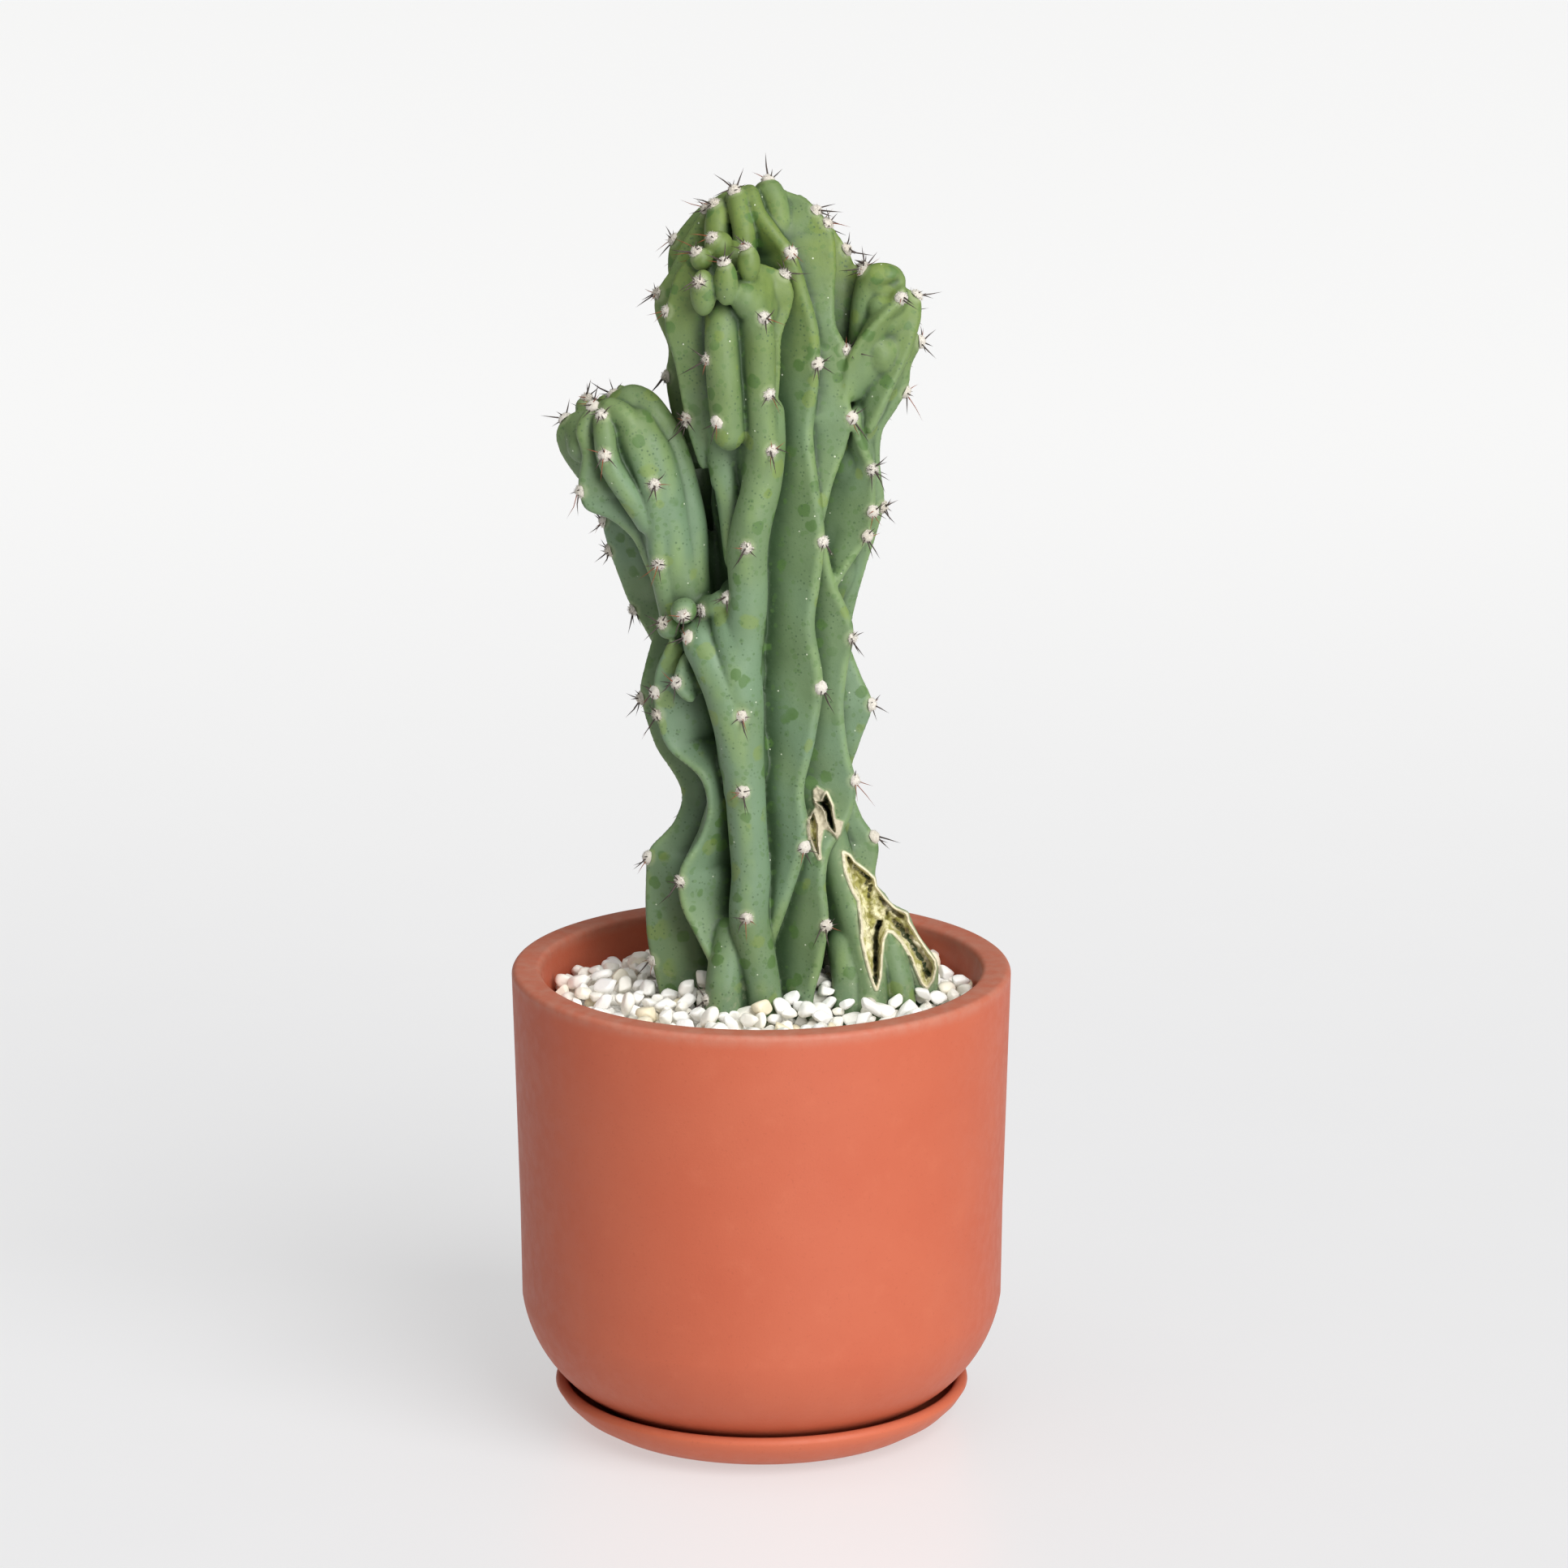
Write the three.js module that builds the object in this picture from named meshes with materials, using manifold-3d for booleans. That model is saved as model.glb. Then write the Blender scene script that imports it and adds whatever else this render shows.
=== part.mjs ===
// A monstrose Peruvian apple cactus growing in a terracotta pot that stands on its saucer.
// Millimetres, +Z up. The origin is the middle of the saucer's underside; the cactus's best side faces -Y.

import * as THREE from 'three';
import { mergeVertices } from 'three/addons/utils/BufferGeometryUtils.js';
import Module from 'manifold-3d';

const wasm = await Module();
wasm.setup();

// Driving dimensions
const POT_RADIUS = 77;
const POT_HEIGHT = 141;
const RIM_WIDTH = 9;
const SAUCER_RADIUS = 64.4;
const SAUCER_HEIGHT = 14;
const SAUCER_FLOOR = 5;
const SOIL_TOP = 127;
const GRAVEL_TOP = 135;
const GAP = 0.35;
const ROUND_SIDES = 32;

const POT_RIM = SAUCER_FLOOR + POT_HEIGHT;
const FLOOR_THICKNESS = 9;
const DRAIN_RADIUS = 6;
const POT_FOOT = 33;
const POT_CORNER = 42;

// Colours and finishes
const TERRACOTTA = { color: 0xc4664a, roughness: 0.85, metalness: 0 };
const SOIL = { color: 0x3a2a20, roughness: 1, metalness: 0 };
const PEBBLES = { color: 0xece8de, roughness: 0.6, metalness: 0 };
const CACTUS = { color: 0x6f9166, roughness: 0.55, metalness: 0 };

// Seeded random numbers, so that each build is the same
function randomFrom(seed) {
  let state = seed;
  return () => {
    state = (state * 1664525 + 1013904223) % 4294967296;
    return state / 4294967296;
  };
}

// Solids for joining and cutting
function toSolid(geometry) {
  const bare = geometry.index ? geometry.clone() : geometry;
  bare.deleteAttribute('normal');
  bare.deleteAttribute('uv');
  const merged = mergeVertices(bare, 1e-4);
  return new wasm.Manifold(new wasm.Mesh({
    numProp: 3,
    vertProperties: new Float32Array(merged.attributes.position.array),
    triVerts: new Uint32Array(merged.index.array),
  }));
}

function toGeometry(solid) {
  const mesh = solid.getMesh();
  const geometry = new THREE.BufferGeometry();
  geometry.setAttribute('position', new THREE.BufferAttribute(new Float32Array(mesh.vertProperties), 3));
  geometry.setIndex(new THREE.BufferAttribute(new Uint32Array(mesh.triVerts), 1));
  geometry.computeVertexNormals();
  return geometry;
}

function join(solids) {
  return solids.reduce((whole, piece) => whole.add(piece));
}

function cutAway(solid, cutters) {
  return cutters.reduce((rest, cutter) => rest.subtract(cutter), solid);
}

// A closed body through rings of points that all have the same count
function loft(rings) {
  const sides = rings[0].length;
  const positions = rings.flat().flatMap((point) => [point.x, point.y, point.z]);
  const faces = [];
  for (let i = 0; i + 1 < rings.length; i += 1) {
    for (let j = 0; j < sides; j += 1) {
      const here = i * sides + j;
      const next = i * sides + (j + 1) % sides;
      faces.push(here, next, next + sides, here, next + sides, here + sides);
    }
  }
  const last = (rings.length - 1) * sides;
  for (let j = 1; j + 1 < sides; j += 1) {
    faces.push(0, j + 1, j);
    faces.push(last, last + j, last + j + 1);
  }
  const geometry = new THREE.BufferGeometry();
  geometry.setAttribute('position', new THREE.Float32BufferAttribute(positions, 3));
  geometry.setIndex(faces);
  return geometry;
}

// A turned body about the Z axis, from a closed profile of [radius, height]
function turned(profile) {
  const points = profile.map(([radius, height]) => new THREE.Vector2(radius, height));
  const geometry = new THREE.LatheGeometry(points, ROUND_SIDES);
  geometry.rotateX(Math.PI / 2);
  return toSolid(geometry);
}

// Quarter-round points from one angle to another, in degrees, about a centre
function arc(centreRadius, centreHeight, radius, from, to, steps) {
  return Array.from({ length: steps + 1 }, (_, i) => {
    const angle = THREE.MathUtils.degToRad(from + (to - from) * i / steps);
    return [centreRadius + radius * Math.cos(angle), centreHeight + radius * Math.sin(angle)];
  });
}

// Pot: a plain tapered wall with a soft rim, rolling under in one big curve to a flat foot
const POT_SHOULDER = 56;
const POT_WAIST = 74.6;
const RIM_ROUND = 1.8;
const CORNER_CENTRE_HEIGHT = SAUCER_FLOOR + POT_CORNER;
const INNER_CORNER = POT_CORNER - FLOOR_THICKNESS;
const CORNER_START = -90;
const CORNER_END = -8;
const OUTER_STEPS = 6;
const INNER_STEPS = 4;

function innerRadius(height) {
  const rise = (height - POT_SHOULDER) / (POT_RIM - POT_SHOULDER);
  return POT_WAIST + (POT_RADIUS - POT_WAIST) * rise - RIM_WIDTH;
}

// The big curve under the pot's wall, from the foot upwards
function cornerArc(radius, steps) {
  return arc(POT_FOOT, CORNER_CENTRE_HEIGHT, radius, CORNER_START, CORNER_END, steps);
}

function potSolid() {
  const outerCorner = cornerArc(POT_CORNER, OUTER_STEPS);
  const rimOuter = arc(POT_RADIUS - RIM_ROUND, POT_RIM - RIM_ROUND, RIM_ROUND, 0, 90, 2);
  const rimInner = arc(POT_RADIUS - RIM_WIDTH + RIM_ROUND, POT_RIM - RIM_ROUND, RIM_ROUND, 90, 180, 2);
  const innerCorner = cornerArc(INNER_CORNER, INNER_STEPS).reverse();
  const profile = [
    [DRAIN_RADIUS, SAUCER_FLOOR],
    ...outerCorner,
    ...rimOuter,
    ...rimInner,
    ...innerCorner,
    [DRAIN_RADIUS, SAUCER_FLOOR + FLOOR_THICKNESS],
    [DRAIN_RADIUS, SAUCER_FLOOR],
  ];
  return turned(profile);
}

// Saucer: a shallow dish whose thick rounded lip shows around the pot's foot
const SAUCER_WALL = 4;
const LIP_STEPS = 4;
const SAUCER_UNDERSIDE = [[0, 0], [45, 0], [53.5, 2.2], [59, 5.5], [62.5, 9]];
const SAUCER_DISH = [[57.4, 8.5], [52.9, 6], [47.4, SAUCER_FLOOR], [0, SAUCER_FLOOR]];

function saucerSolid() {
  const round = SAUCER_WALL / 2;
  const lip = arc(SAUCER_RADIUS - round, SAUCER_HEIGHT - round, round, 0, 180, LIP_STEPS);
  return turned([...SAUCER_UNDERSIDE, ...lip, ...SAUCER_DISH]);
}

// Stems: the fleshy cores inside the ribs, as [x, y, z, radius] from root to tip
const STEMS = {
  trunk: [[0, 10, 106, 15], [0, 10, 122, 20], [1, 10, 160, 21], [-2, 10, 205, 20], [0, 10, 250, 21],
    [0, 12, 285, 19], [-1, 15, 320, 19], [-1, 15, 362, 18], [-1, 14, 376, 12]],
  front: [[-3, 2, 262, 13], [-5, -4, 292, 13], [-9, -9, 320, 12], [-10, -11, 350, 13],
    [-10, -12, 369, 9.5]],
  left: [[-12, 6, 248, 14], [-24, 3, 275, 14], [-35, 0, 296, 12], [-45, -1, 314, 8]],
  right: [[10, 8, 240, 14], [19, 4, 272, 14], [26, 3, 305, 10.5], [35, 2, 332, 10], [39, 2, 353, 7.5]],
  buttress: [[10, 8, 195, 14], [20, 5, 170, 14], [32, 3, 148, 12], [37, 2, 118, 11]],
};
const STEM_SIDES = 8;

// Ribs: each crest as [x, y, z] points from its upper end, with the half width of its root, the radius
// of its crest, how deep it is rooted, and the heights of the areoles along it
const RIBS = [
  // Lower trunk, from the left round the front to the right
  { stem: 'trunk', width: 7, crest: 3, depth: 16, areoles: [230, 181, 148],
    points: [[-33, 6, 252], [-36, 4, 240], [-37.5, 4, 231], [-33, 4, 215], [-25, 3, 200], [-27, 2, 192],
      [-35, 0, 183], [-36, 0, 174], [-35.5, -1, 155], [-33, -2, 142], [-29, -2, 122]] },
  { stem: 'trunk', width: 6.5, crest: 2.6, depth: 15, areoles: [235, 229, 177],
    points: [[-28, -14, 252], [-32.5, -12, 241], [-32.5, -12, 230], [-29, -13, 219], [-18, -17, 210],
      [-16, -18, 201], [-19, -18, 191], [-25, -17.5, 180], [-25, -17, 171], [-20, -18, 160],
      [-14, -19, 150]] },
  { stem: 'trunk', width: 7, crest: 4.5, depth: 14, areoles: [151],
    points: [[-13, -16, 159], [-13.5, -20, 152], [-14, -22, 144], [-14.5, -22, 122]] },
  { stem: 'trunk', width: 7, crest: 5.2, depth: 15, areoles: [280, 232, 168],
    points: [[3.5, -24, 309], [0, -25, 300], [-5, -27, 285], [-5, -27, 265], [-7, -27, 247],
      [-6, -27, 232], [-5.5, -26, 208], [-4, -25, 182], [-4.5, -25, 168], [-1.5, -24, 152],
      [0.5, -22, 138], [0.5, -22, 122]] },
  { stem: 'trunk', width: 7.5, crest: 2.8, depth: 17, areoles: [338, 288, 238, 189],
    points: [[-1, 5, 386], [5, -4, 380], [10, -10, 371.5], [14, -13, 359], [17.5, -14, 346],
      [17.3, -14, 332], [15.5, -14, 317], [17.3, -16, 300], [19.3, -17, 285], [17.5, -18, 270],
      [16, -18, 258], [18.6, -18, 240], [16.5, -19, 223], [13, -19, 206], [14, -19, 193],
      [11, -19, 180], [6, -19, 166], [2, -17, 154]] },
  { stem: 'trunk', width: 7, crest: 3, depth: 16, areoles: [252, 207, 163],
    points: [[19, -13, 284], [22.5, -12, 270], [28.3, -10, 255], [26.5, -10, 242], [25.4, -10, 230],
      [27, -10, 216], [29.3, -9, 206], [28, -10, 197], [21, -15, 186], [19.3, -17, 177],
      [20.5, -18, 165], [18.5, -18, 152], [15.5, -18, 140], [15, -18, 122]] },
  { stem: 'trunk', width: 7, crest: 3, depth: 16, areoles: [229, 188],
    points: [[26, 3, 250], [31, 1, 238], [34.5, 0, 229], [31, 0, 217], [28, 1, 206], [31, -1, 194],
      [36.3, -1, 185], [35.5, -1, 176], [37, -1, 168], [43, -1, 157], [49, 0, 148], [52, 0, 139],
      [52.5, 0, 122]] },
  { stem: 'buttress', width: 7, crest: 3.5, depth: 14, areoles: [150],
    points: [[23, -10, 192], [26, -10, 180], [28.5, -11, 170], [31, -12, 160], [34, -12, 146],
      [35, -12, 122]] },

  // Back of the trunk and main column
  { stem: 'trunk', width: 7, crest: 3, depth: 16, areoles: [370, 318, 262, 206],
    points: [[6, 16, 387], [16, 22, 378], [22, 26, 364], [24, 26, 343], [22, 27, 320], [25, 26, 288],
      [23, 25, 258], [25, 24, 232], [24, 25, 202], [28, 25, 166], [28, 24, 122]] },
  { stem: 'trunk', width: 7, crest: 3, depth: 16, areoles: [352, 298, 240, 184],
    points: [[3, 20, 387], [9, 32, 380], [11, 40, 367], [10, 43, 348], [13, 43, 324], [9, 43, 296],
      [12, 42, 264], [8, 41, 234], [12, 42, 204], [9, 40, 168], [11, 38, 122]] },
  { stem: 'trunk', width: 7, crest: 3, depth: 16, areoles: [366, 314, 256, 200],
    points: [[-4, 20, 387], [-9, 32, 379], [-9, 41, 364], [-8, 43, 342], [-12, 44, 314], [-8, 43, 286],
      [-12, 43, 254], [-9, 42, 226], [-13, 41, 192], [-10, 40, 160], [-11, 38, 122]] },
  { stem: 'trunk', width: 7, crest: 3, depth: 16, areoles: [340, 284, 228, 172],
    points: [[-10, 17, 386], [-20, 26, 377], [-24, 32, 362], [-25, 33, 342], [-22, 33, 320],
      [-27, 31, 286], [-25, 31, 258], [-27, 29, 234], [-20, 28, 198], [-25, 27, 176], [-30, 26, 152],
      [-28, 24, 122]] },

  // Top of the main column
  { stem: 'trunk', width: 6, crest: 3, depth: 14, areoles: [372],
    points: [[-10, 14, 386], [-17, 15, 382], [-23, 16, 376], [-27.5, 17, 369], [-28.5, 17, 362],
      [-26, 18, 340]] },
  { stem: 'trunk', width: 6.5, crest: 3, depth: 15, areoles: [385, 358, 331],
    points: [[-12, 7, 386.5], [-18, 5, 381], [-23, 4, 373], [-28, 4, 363], [-32, 4, 356],
      [-32.5, 5, 350], [-28.5, 5, 339], [-29.5, 5, 330], [-27, 5, 317], [-22, 5, 302]] },
  { stem: 'trunk', width: 5, crest: 4.5, depth: 12, areoles: [384.5],
    points: [[-10, 5, 387], [-14.5, 0, 384.5], [-15.5, -4, 380], [-15.5, -6, 373], [-15, -7, 362]] },
  { stem: 'trunk', width: 4.4, crest: 4, depth: 11, areoles: [389],
    points: [[-4, 6, 389.5], [-7, -1, 389], [-7.4, -6, 383.5], [-6.4, -8.5, 377], [-5.5, -8.5, 366]] },
  { stem: 'trunk', width: 4.6, crest: 4.2, depth: 12, areoles: [390.3],
    points: [[1, 11, 390], [4.2, 4, 390.5], [7, -2, 386.5], [8.8, -4, 379], [10, -5, 368]] },
  { stem: 'trunk', width: 7, crest: 3.2, depth: 16, areoles: [379, 321],
    points: [[5, 7, 388], [13, 2, 386], [18, -2, 382], [21.8, -4, 376.5], [23.2, -6, 367],
      [22.8, -7, 358], [23, -8, 348], [26.5, -8, 341], [26.3, -9, 330], [28, -10, 320.5],
      [26, -10, 311], [22, -12, 300], [19, -14, 288]] },
  { stem: 'trunk', width: 6.5, crest: 3.2, depth: 15, areoles: [369],
    points: [[13, 11, 385], [21, 9, 377], [26.5, 8, 369], [29, 7, 362], [29, 5, 353], [26.5, 4, 343],
      [26, 3, 330]] },

  // Front column
  { stem: 'front', width: 5.5, crest: 2.5, depth: 13, areoles: [372.5, 354],
    points: [[-15, -12, 374], [-21, -14, 371], [-25.5, -15, 366], [-28.5, -15, 357], [-29.3, -15, 350],
      [-26.8, -15, 339], [-24.3, -13, 326], [-22.5, -12, 317], [-19, -10, 305]] },
  { stem: 'front', width: 5.4, crest: 4.6, depth: 12, areoles: [344, 322],
    points: [[-11.5, -24, 363], [-12.2, -27, 355], [-12.3, -28, 346], [-11.7, -28, 335],
      [-11, -28, 326], [-10.8, -26.5, 317.5]] },
  { stem: 'front', width: 4.6, crest: 4, depth: 10, areoles: [],
    points: [[-16, -13, 315], [-14, -17, 309], [-13, -18, 303], [-13.5, -17, 296]] },
  { stem: 'front', width: 5.6, crest: 4, depth: 14, areoles: [355, 324],
    points: [[-7, -22, 367], [-2.5, -25, 362], [1.7, -27, 357], [3, -27, 349], [3.2, -27, 338],
      [3, -26, 328], [3.7, -25, 315], [3.5, -25, 307], [0, -25, 298]] },
  { stem: 'front', width: 5.5, crest: 2.6, depth: 14, areoles: [365.5],
    points: [[-3, -12, 369], [4, -14, 367.5], [8.5, -15, 365], [10.5, -16, 360], [9.8, -16, 355],
      [7, -18, 347], [6.5, -18, 336], [5, -17, 322]] },

  // Left branch
  { stem: 'left', width: 5, crest: 3.2, depth: 12, areoles: [317.5],
    points: [[-54, 6, 320.5], [-60, 6, 317.5], [-62.5, 6, 312.5], [-61.5, 6, 307], [-57, 6, 300],
      [-50, 6, 291]] },
  { stem: 'left', width: 4.6, crest: 3.4, depth: 12, areoles: [323.5, 298],
    points: [[-50, -5, 324.5], [-54, -7, 321], [-55.7, -8, 316], [-54, -9, 308], [-55.5, -9, 299],
      [-53.5, -9, 292], [-46, -8, 288], [-39, -6, 282], [-36, -5, 275], [-32.5, -5, 265],
      [-31, -6, 255]] },
  { stem: 'left', width: 4.2, crest: 3.6, depth: 11, areoles: [322, 311],
    points: [[-48.3, -11, 322], [-47.8, -15, 316], [-47, -17, 309], [-45.5, -18, 304],
      [-40, -17.5, 296], [-34, -15, 286]] },
  { stem: 'left', width: 6, crest: 3.6, depth: 14, areoles: [302, 276],
    points: [[-46.5, -8, 326], [-41.5, -11, 324.5], [-37.5, -13, 320.5], [-36, -15, 314],
      [-32.5, -17, 304], [-30.8, -17, 295], [-31, -16, 283], [-31, -15, 272], [-29, -13, 258]] },
  { stem: 'left', width: 7.5, crest: 6.5, depth: 14, areoles: [],
    points: [[-32, -9, 320], [-27, -13, 312], [-25, -14, 300], [-24, -14, 285], [-24, -14, 270],
      [-22, -13, 258]] },
  { stem: 'left', width: 6.5, crest: 3.4, depth: 14, areoles: [326],
    points: [[-45, 3, 326], [-39, 1, 329], [-33, -1, 327.5], [-28, -4, 323], [-24, -7, 317],
      [-21.3, -9, 309], [-19, -10, 300], [-17.7, -12, 288], [-18.5, -13, 272], [-19, -13, 258]] },
  { stem: 'trunk', width: 7, crest: 3.2, depth: 18, areoles: [274, 257],
    points: [[-43, 9, 292], [-48.5, 12, 284], [-47.5, 12, 277], [-44, 12, 266], [-41, 12, 258],
      [-36, 9, 250], [-31, 8, 241]] },
  { stem: 'left', width: 6, crest: 3, depth: 13, areoles: [318, 284],
    points: [[-48, 6, 325], [-52, 12, 318], [-51, 17, 306], [-46, 20, 292], [-38, 23, 276],
      [-31, 25, 262]] },
  { stem: 'left', width: 6, crest: 3, depth: 13, areoles: [306],
    points: [[-42, 6, 328], [-35, 12, 322], [-30, 16, 310], [-27, 19, 296], [-24, 21, 280],
      [-20, 22, 268]] },

  // Knob branch on the trunk's left front
  { stem: 'trunk', width: 5.2, crest: 4, depth: 13, areoles: [262.5],
    points: [[-20, -15, 262], [-15.5, -20, 263.5], [-10, -22, 266], [-5, -22, 262], [-3, -22, 252]] },
  { stem: 'trunk', width: 6, crest: 4.4, depth: 14, areoles: [266.5],
    points: [[-9.5, -19, 268], [-12, -23, 259], [-10.5, -25, 252], [-8, -26, 245], [-6.5, -27, 236]] },
  { stem: 'trunk', width: 5.4, crest: 4, depth: 13, areoles: [255],
    points: [[-24, -17, 257.5], [-22.7, -22, 253.5], [-19.5, -24, 247], [-16, -25, 242],
      [-12, -25, 235], [-9, -25, 226]] },
  { stem: 'trunk', width: 3.8, crest: 3.2, depth: 11, areoles: [241],
    points: [[-23.5, -15, 249], [-26, -18, 243], [-25.8, -19, 238], [-22, -19, 234.5]] },

  // Right branch
  { stem: 'right', width: 5, crest: 4.4, depth: 11, areoles: [364],
    points: [[42.5, 1, 361.5], [40, 0.5, 365], [35.5, 1, 366.5], [31.5, 1, 364], [28.8, 1, 357],
      [27, 0, 350], [26, -1, 340]] },
  { stem: 'right', width: 5.5, crest: 2.8, depth: 12, areoles: [356.5],
    points: [[40, 2, 362], [43.7, -3, 360.5], [44.3, -7, 357], [42.5, -9, 353], [38.5, -11, 347.5],
      [32, -11, 341], [27, -10, 334], [26, -9, 324]] },
  { stem: 'right', width: 5, crest: 3, depth: 11, areoles: [356],
    points: [[43, 3, 359], [48.3, 1, 355.5], [48.8, -1, 350], [47, -4, 344], [43.5, -7, 336],
      [38, -10, 326], [33, -10, 316]] },
  { stem: 'right', width: 6, crest: 3, depth: 14, areoles: [342, 318, 291.5],
    points: [[45, 4, 347], [48.7, 2, 341.5], [46, 2, 334], [45, 2, 327], [41.5, 1, 320.5],
      [37.3, 0, 314], [36.5, 0, 305], [38, 0, 292], [36, 0.5, 283], [32.5, 1, 271], [28.5, 2, 257],
      [27, 3, 247]] },
  { stem: 'right', width: 6.5, crest: 3, depth: 14, areoles: [303.5, 284],
    points: [[27.5, -10, 321], [30, -10, 312.5], [34, -8, 304], [34.5, -8, 291], [33, -8, 283],
      [27, -10, 275], [22, -12, 268]] },
  { stem: 'right', width: 6, crest: 3, depth: 13, areoles: [350, 322],
    points: [[42, 6, 361], [45, 11, 352], [43, 14, 340], [38, 16, 326], [33, 17, 310], [33, 17, 294],
      [30, 18, 278], [26, 18, 262]] },
];

// Round lumps that close a tip or sit between ribs: [x, y, z], radius and the areole's direction
const LUMPS = [
  { at: [-12.5, -15, 374], radius: 5, felt: [-0.5, -0.5, 0.7] },
  { at: [-17.5, -18, 370.5], radius: 3.6, felt: [-0.6, -0.3, 0.8] },
  { at: [-17, -21, 361.5], radius: 5, tall: 7.8, felt: [-0.3, -0.6, 0.8] },
  { at: [-10.4, -23, 367], radius: 4.2, tall: 7.2, felt: [-0.1, -0.3, 1] },
  { at: [-3.8, -19, 371], radius: 4.8, tall: 7, felt: [-0.2, -0.2, 1] },
  { at: [-53, 7, 320], radius: 4, felt: [0.1, -0.2, 1] },
  { at: [-23.3, -19, 263], radius: 4.5, felt: [0, -1, -0.2] },
  { at: [30.5, 8, 361], radius: 4, felt: [0.2, -0.4, 0.9] },
  { at: [-28, -13, 256.5], radius: 4, felt: [-0.5, -0.7, 0.5] },
];

const CREST_FLAT = 0.8;
const CURVE_DIVISIONS = 20;
const END_SHARE = 0.45;
const END_SCALES = [0.42, 0.86];
const END_LIMIT = 0.4;

function nearestOnStem(stem, point) {
  let best = null;
  let bestDistance = Infinity;
  for (let i = 0; i + 1 < stem.length; i += 1) {
    const line = new THREE.Line3(new THREE.Vector3(...stem[i].slice(0, 3)),
      new THREE.Vector3(...stem[i + 1].slice(0, 3)));
    const candidate = line.closestPointToPoint(point, true, new THREE.Vector3());
    const distance = candidate.distanceTo(point);
    if (distance < bestDistance) {
      best = candidate;
      bestDistance = distance;
    }
  }
  return best;
}

function crestCurve(rib) {
  const points = rib.points.map((point) => new THREE.Vector3(...point));
  return new THREE.CatmullRomCurve3(points, false, 'centripetal');
}

// The crest point, the direction into the stem and the sideways direction at a share of the rib's length
function ribFrame(rib, curve, share) {
  const crest = curve.getPointAt(share);
  const along = curve.getTangentAt(share);
  const inward = nearestOnStem(STEMS[rib.stem], crest).sub(crest);
  inward.addScaledVector(along, -inward.dot(along)).normalize();
  const side = new THREE.Vector3().crossVectors(inward, along);
  return { crest, inward, side };
}

// A rib is a fin: a blunt crest whose flanks widen down to its root inside the stem
function ribSolid(rib, loose = 0) {
  const curve = crestCurve(rib);
  const length = curve.getLength();
  const lengths = curve.getLengths(CURVE_DIVISIONS * (rib.points.length - 1));
  const shares = rib.points.map((_, i) => lengths[i * CURVE_DIVISIONS] / length);
  const room = END_LIMIT * Math.min(shares[1], 1 - shares.at(-2));
  const end = Math.min(END_SHARE * rib.width / length, room);
  const stations = [0, end, ...shares.slice(1, -1), 1 - end, 1];
  const rings = stations.map((share, i) => {
    const scale = END_SCALES[Math.min(i, stations.length - 1 - i)] ?? 1;
    const { crest, inward, side } = ribFrame(rib, curve, share);
    const round = rib.crest * scale;
    const root = rib.width * scale + loose;
    const drop = rib.crest - round - loose;
    const flat = CREST_FLAT * round + loose;
    const outline = [[-root, rib.depth], [-flat, drop], [flat, drop], [root, rib.depth]];
    return outline.map(([across, deep]) => (
      crest.clone().addScaledVector(side, across).addScaledVector(inward, deep)
    ));
  });
  return toSolid(loft(rings));
}

// A stem core is a tube through its points with rounded ends
function stemSolid(stem, loose = 0) {
  const rings = stem.map(([x, y, z, radius], i) => {
    const before = new THREE.Vector3(...stem[Math.max(i - 1, 0)].slice(0, 3));
    const after = new THREE.Vector3(...stem[Math.min(i + 1, stem.length - 1)].slice(0, 3));
    const along = after.sub(before).normalize();
    const turn = new THREE.Quaternion().setFromUnitVectors(new THREE.Vector3(0, 0, 1), along);
    return Array.from({ length: STEM_SIDES }, (_, j) => {
      const angle = 2 * Math.PI * j / STEM_SIDES;
      const reach = radius + loose;
      const offset = new THREE.Vector3(reach * Math.cos(angle), reach * Math.sin(angle), 0);
      return offset.applyQuaternion(turn).add(new THREE.Vector3(x, y, z));
    });
  });
  return toSolid(loft(rings));
}

const LUMP_SIDES = 6;
const LUMP_RINGS = 4;

function lumpSolid({ at, radius, tall = radius }) {
  const geometry = new THREE.SphereGeometry(radius, LUMP_SIDES, LUMP_RINGS);
  geometry.rotateX(Math.PI / 2);
  geometry.scale(1, 1, tall / radius);
  geometry.translate(...at);
  return toSolid(geometry);
}

// Areoles: a felt pad on the crest that carries a few stiff spines
const FELT_RADIUS = 2.6;
const FELT_HEIGHT = 1.5;
const FELT_SIDES = 4;
const SPINE_RADIUS = 0.5;
const SPINE_LENGTHS = [7.5, 12.5];
const SPINE_LEANS = [0.5, 1.2];
const SPINE_SINK = 1.5;
const SPINE_FLOOR = 146;
const SPINES_EACH = [2, 1, 1];
const SEARCH_STEPS = 200;

function areolePlaces() {
  const places = [];
  for (const rib of RIBS) {
    const curve = crestCurve(rib);
    for (const height of rib.areoles) {
      let best = 0;
      for (let step = 1; step < SEARCH_STEPS; step += 1) {
        const share = step / SEARCH_STEPS;
        const miss = Math.abs(curve.getPointAt(share).z - height);
        if (miss < Math.abs(curve.getPointAt(best).z - height)) {
          best = share;
        }
      }
      const { crest, inward } = ribFrame(rib, curve, best);
      places.push({ at: crest, out: inward.clone().negate() });
    }
  }
  for (const { at, radius, tall = radius, felt } of LUMPS) {
    const out = new THREE.Vector3(...felt).normalize();
    const reach = 1 / Math.hypot(out.x / radius, out.y / radius, out.z / tall);
    places.push({ at: new THREE.Vector3(...at).addScaledVector(out, reach), out });
  }
  return places;
}

function feltSolid({ at, out }) {
  const geometry = new THREE.ConeGeometry(FELT_RADIUS, 2 * FELT_HEIGHT, FELT_SIDES);
  geometry.rotateX(Math.PI / 2);
  geometry.applyQuaternion(new THREE.Quaternion().setFromUnitVectors(new THREE.Vector3(0, 0, 1), out));
  geometry.translate(at.x, at.y, at.z);
  return toSolid(geometry);
}

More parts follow.
